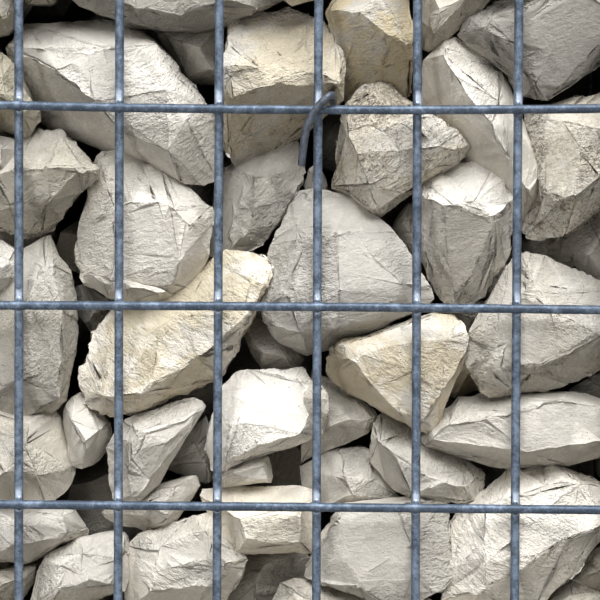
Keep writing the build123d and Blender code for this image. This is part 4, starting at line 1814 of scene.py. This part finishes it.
def fill_basket(node, first_number):
    """One piece with all the stones of a basket, and how many triangles it has."""
    stones, grid = BASKETS[node]
    low, high = (Vector(corner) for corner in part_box(node))
    generator = random.Random(first_number)
    meshes = []
    for number, stone in enumerate(stones, start=first_number):
        mesh = fill_stone(stone, grid, low, high, generator, number)
        if mesh is not None:
            meshes.append(mesh)
    return join_stones(node.replace("stone_fill", "stones") + "_1", meshes, [node])


for number, node in enumerate(BASKETS):
    stone_triangles += fill_basket(node, 1000 * (number + 1))

# %% [markdown]
# Splinters slip through the wide openings of a partition and fill the joint between two baskets.
# Without them one could look straight through the wall there. Each is a flat lump in one opening.

# %% Splinters in the joint
SPLINTER_HALF = 3.9 * MM
SPLINTER_CLEAR = 2.5 * MM
SPLINTER_ASIDE = 1.2 * MM
SPLINTER_SIDES = 8
SPLINTER_BEVEL = 0.8 * MM
SPLINTER_RELIEF = (0.2 * MM, 0.5 * MM, 0.4 * MM, 0.2 * MM)
SPLINTER_SEED = 7
FIRST_SPLINTER = 9000


def splinter(panel, across, above, generator, number):
    """A flat stone in the opening between two uprights and two bars of a partition."""
    reach = [(pair[1] - pair[0] - WIRE) / 2 - SPLINTER_CLEAR for pair in (across, above)]
    middle = [sum(pair) / 2 for pair in (across, above)]
    aside = generator.choice((-SPLINTER_ASIDE, SPLINTER_ASIDE))
    corners = []
    for i in range(SPLINTER_SIDES):
        angle = math.tau * (i + generator.uniform(-0.15, 0.15)) / SPLINTER_SIDES
        way = (math.cos(angle), math.sin(angle))
        far = generator.uniform(0.9, 1.0) / max(abs(part) for part in way)
        for side in (-1, 1):
            thick = SPLINTER_HALF * generator.uniform(0.6, 1.0)
            corners.append(panel.point(
                middle[0] + way[0] * far * reach[0], middle[1] + way[1] * far * reach[1],
                aside + side * thick))
    shape = chip_edges(hull_shape(corners), SPLINTER_BEVEL)
    turn = stone_frame(generator.uniform(0, 180), generator)
    look, green = random_look(generator)
    return finish_stone(
        shape, "splinter " + str(number), turn, number, look, green, FAR_EDGE,
        lambda edge: True, SPLINTER_RELIEF)


def joint_splinters():
    """One splinter in every opening of the partitions."""
    generator = random.Random(SPLINTER_SEED)
    meshes = []
    for panel in PANELS:
        if not panel.node.startswith("partition"):
            continue
        for across in zip(panel.uprights, panel.uprights[1:]):
            for above in zip(panel.bars, panel.bars[1:]):
                number = FIRST_SPLINTER + len(meshes)
                meshes.append(splinter(panel, across, above, generator, number))
    return meshes


stone_triangles += join_stones("joint_splinters", joint_splinters(), list(BASKETS))
print("all stones", stone_triangles, "triangles, all pieces", stone_triangles + wire_triangles)

# %% [markdown]
# ## Finish
#
# The two boxes, of the solids and of the dressed wall, are gathered in one list.

# %% Finish
boxes = [[list(corner) for corner in box] for box in (cad_bounds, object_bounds())]
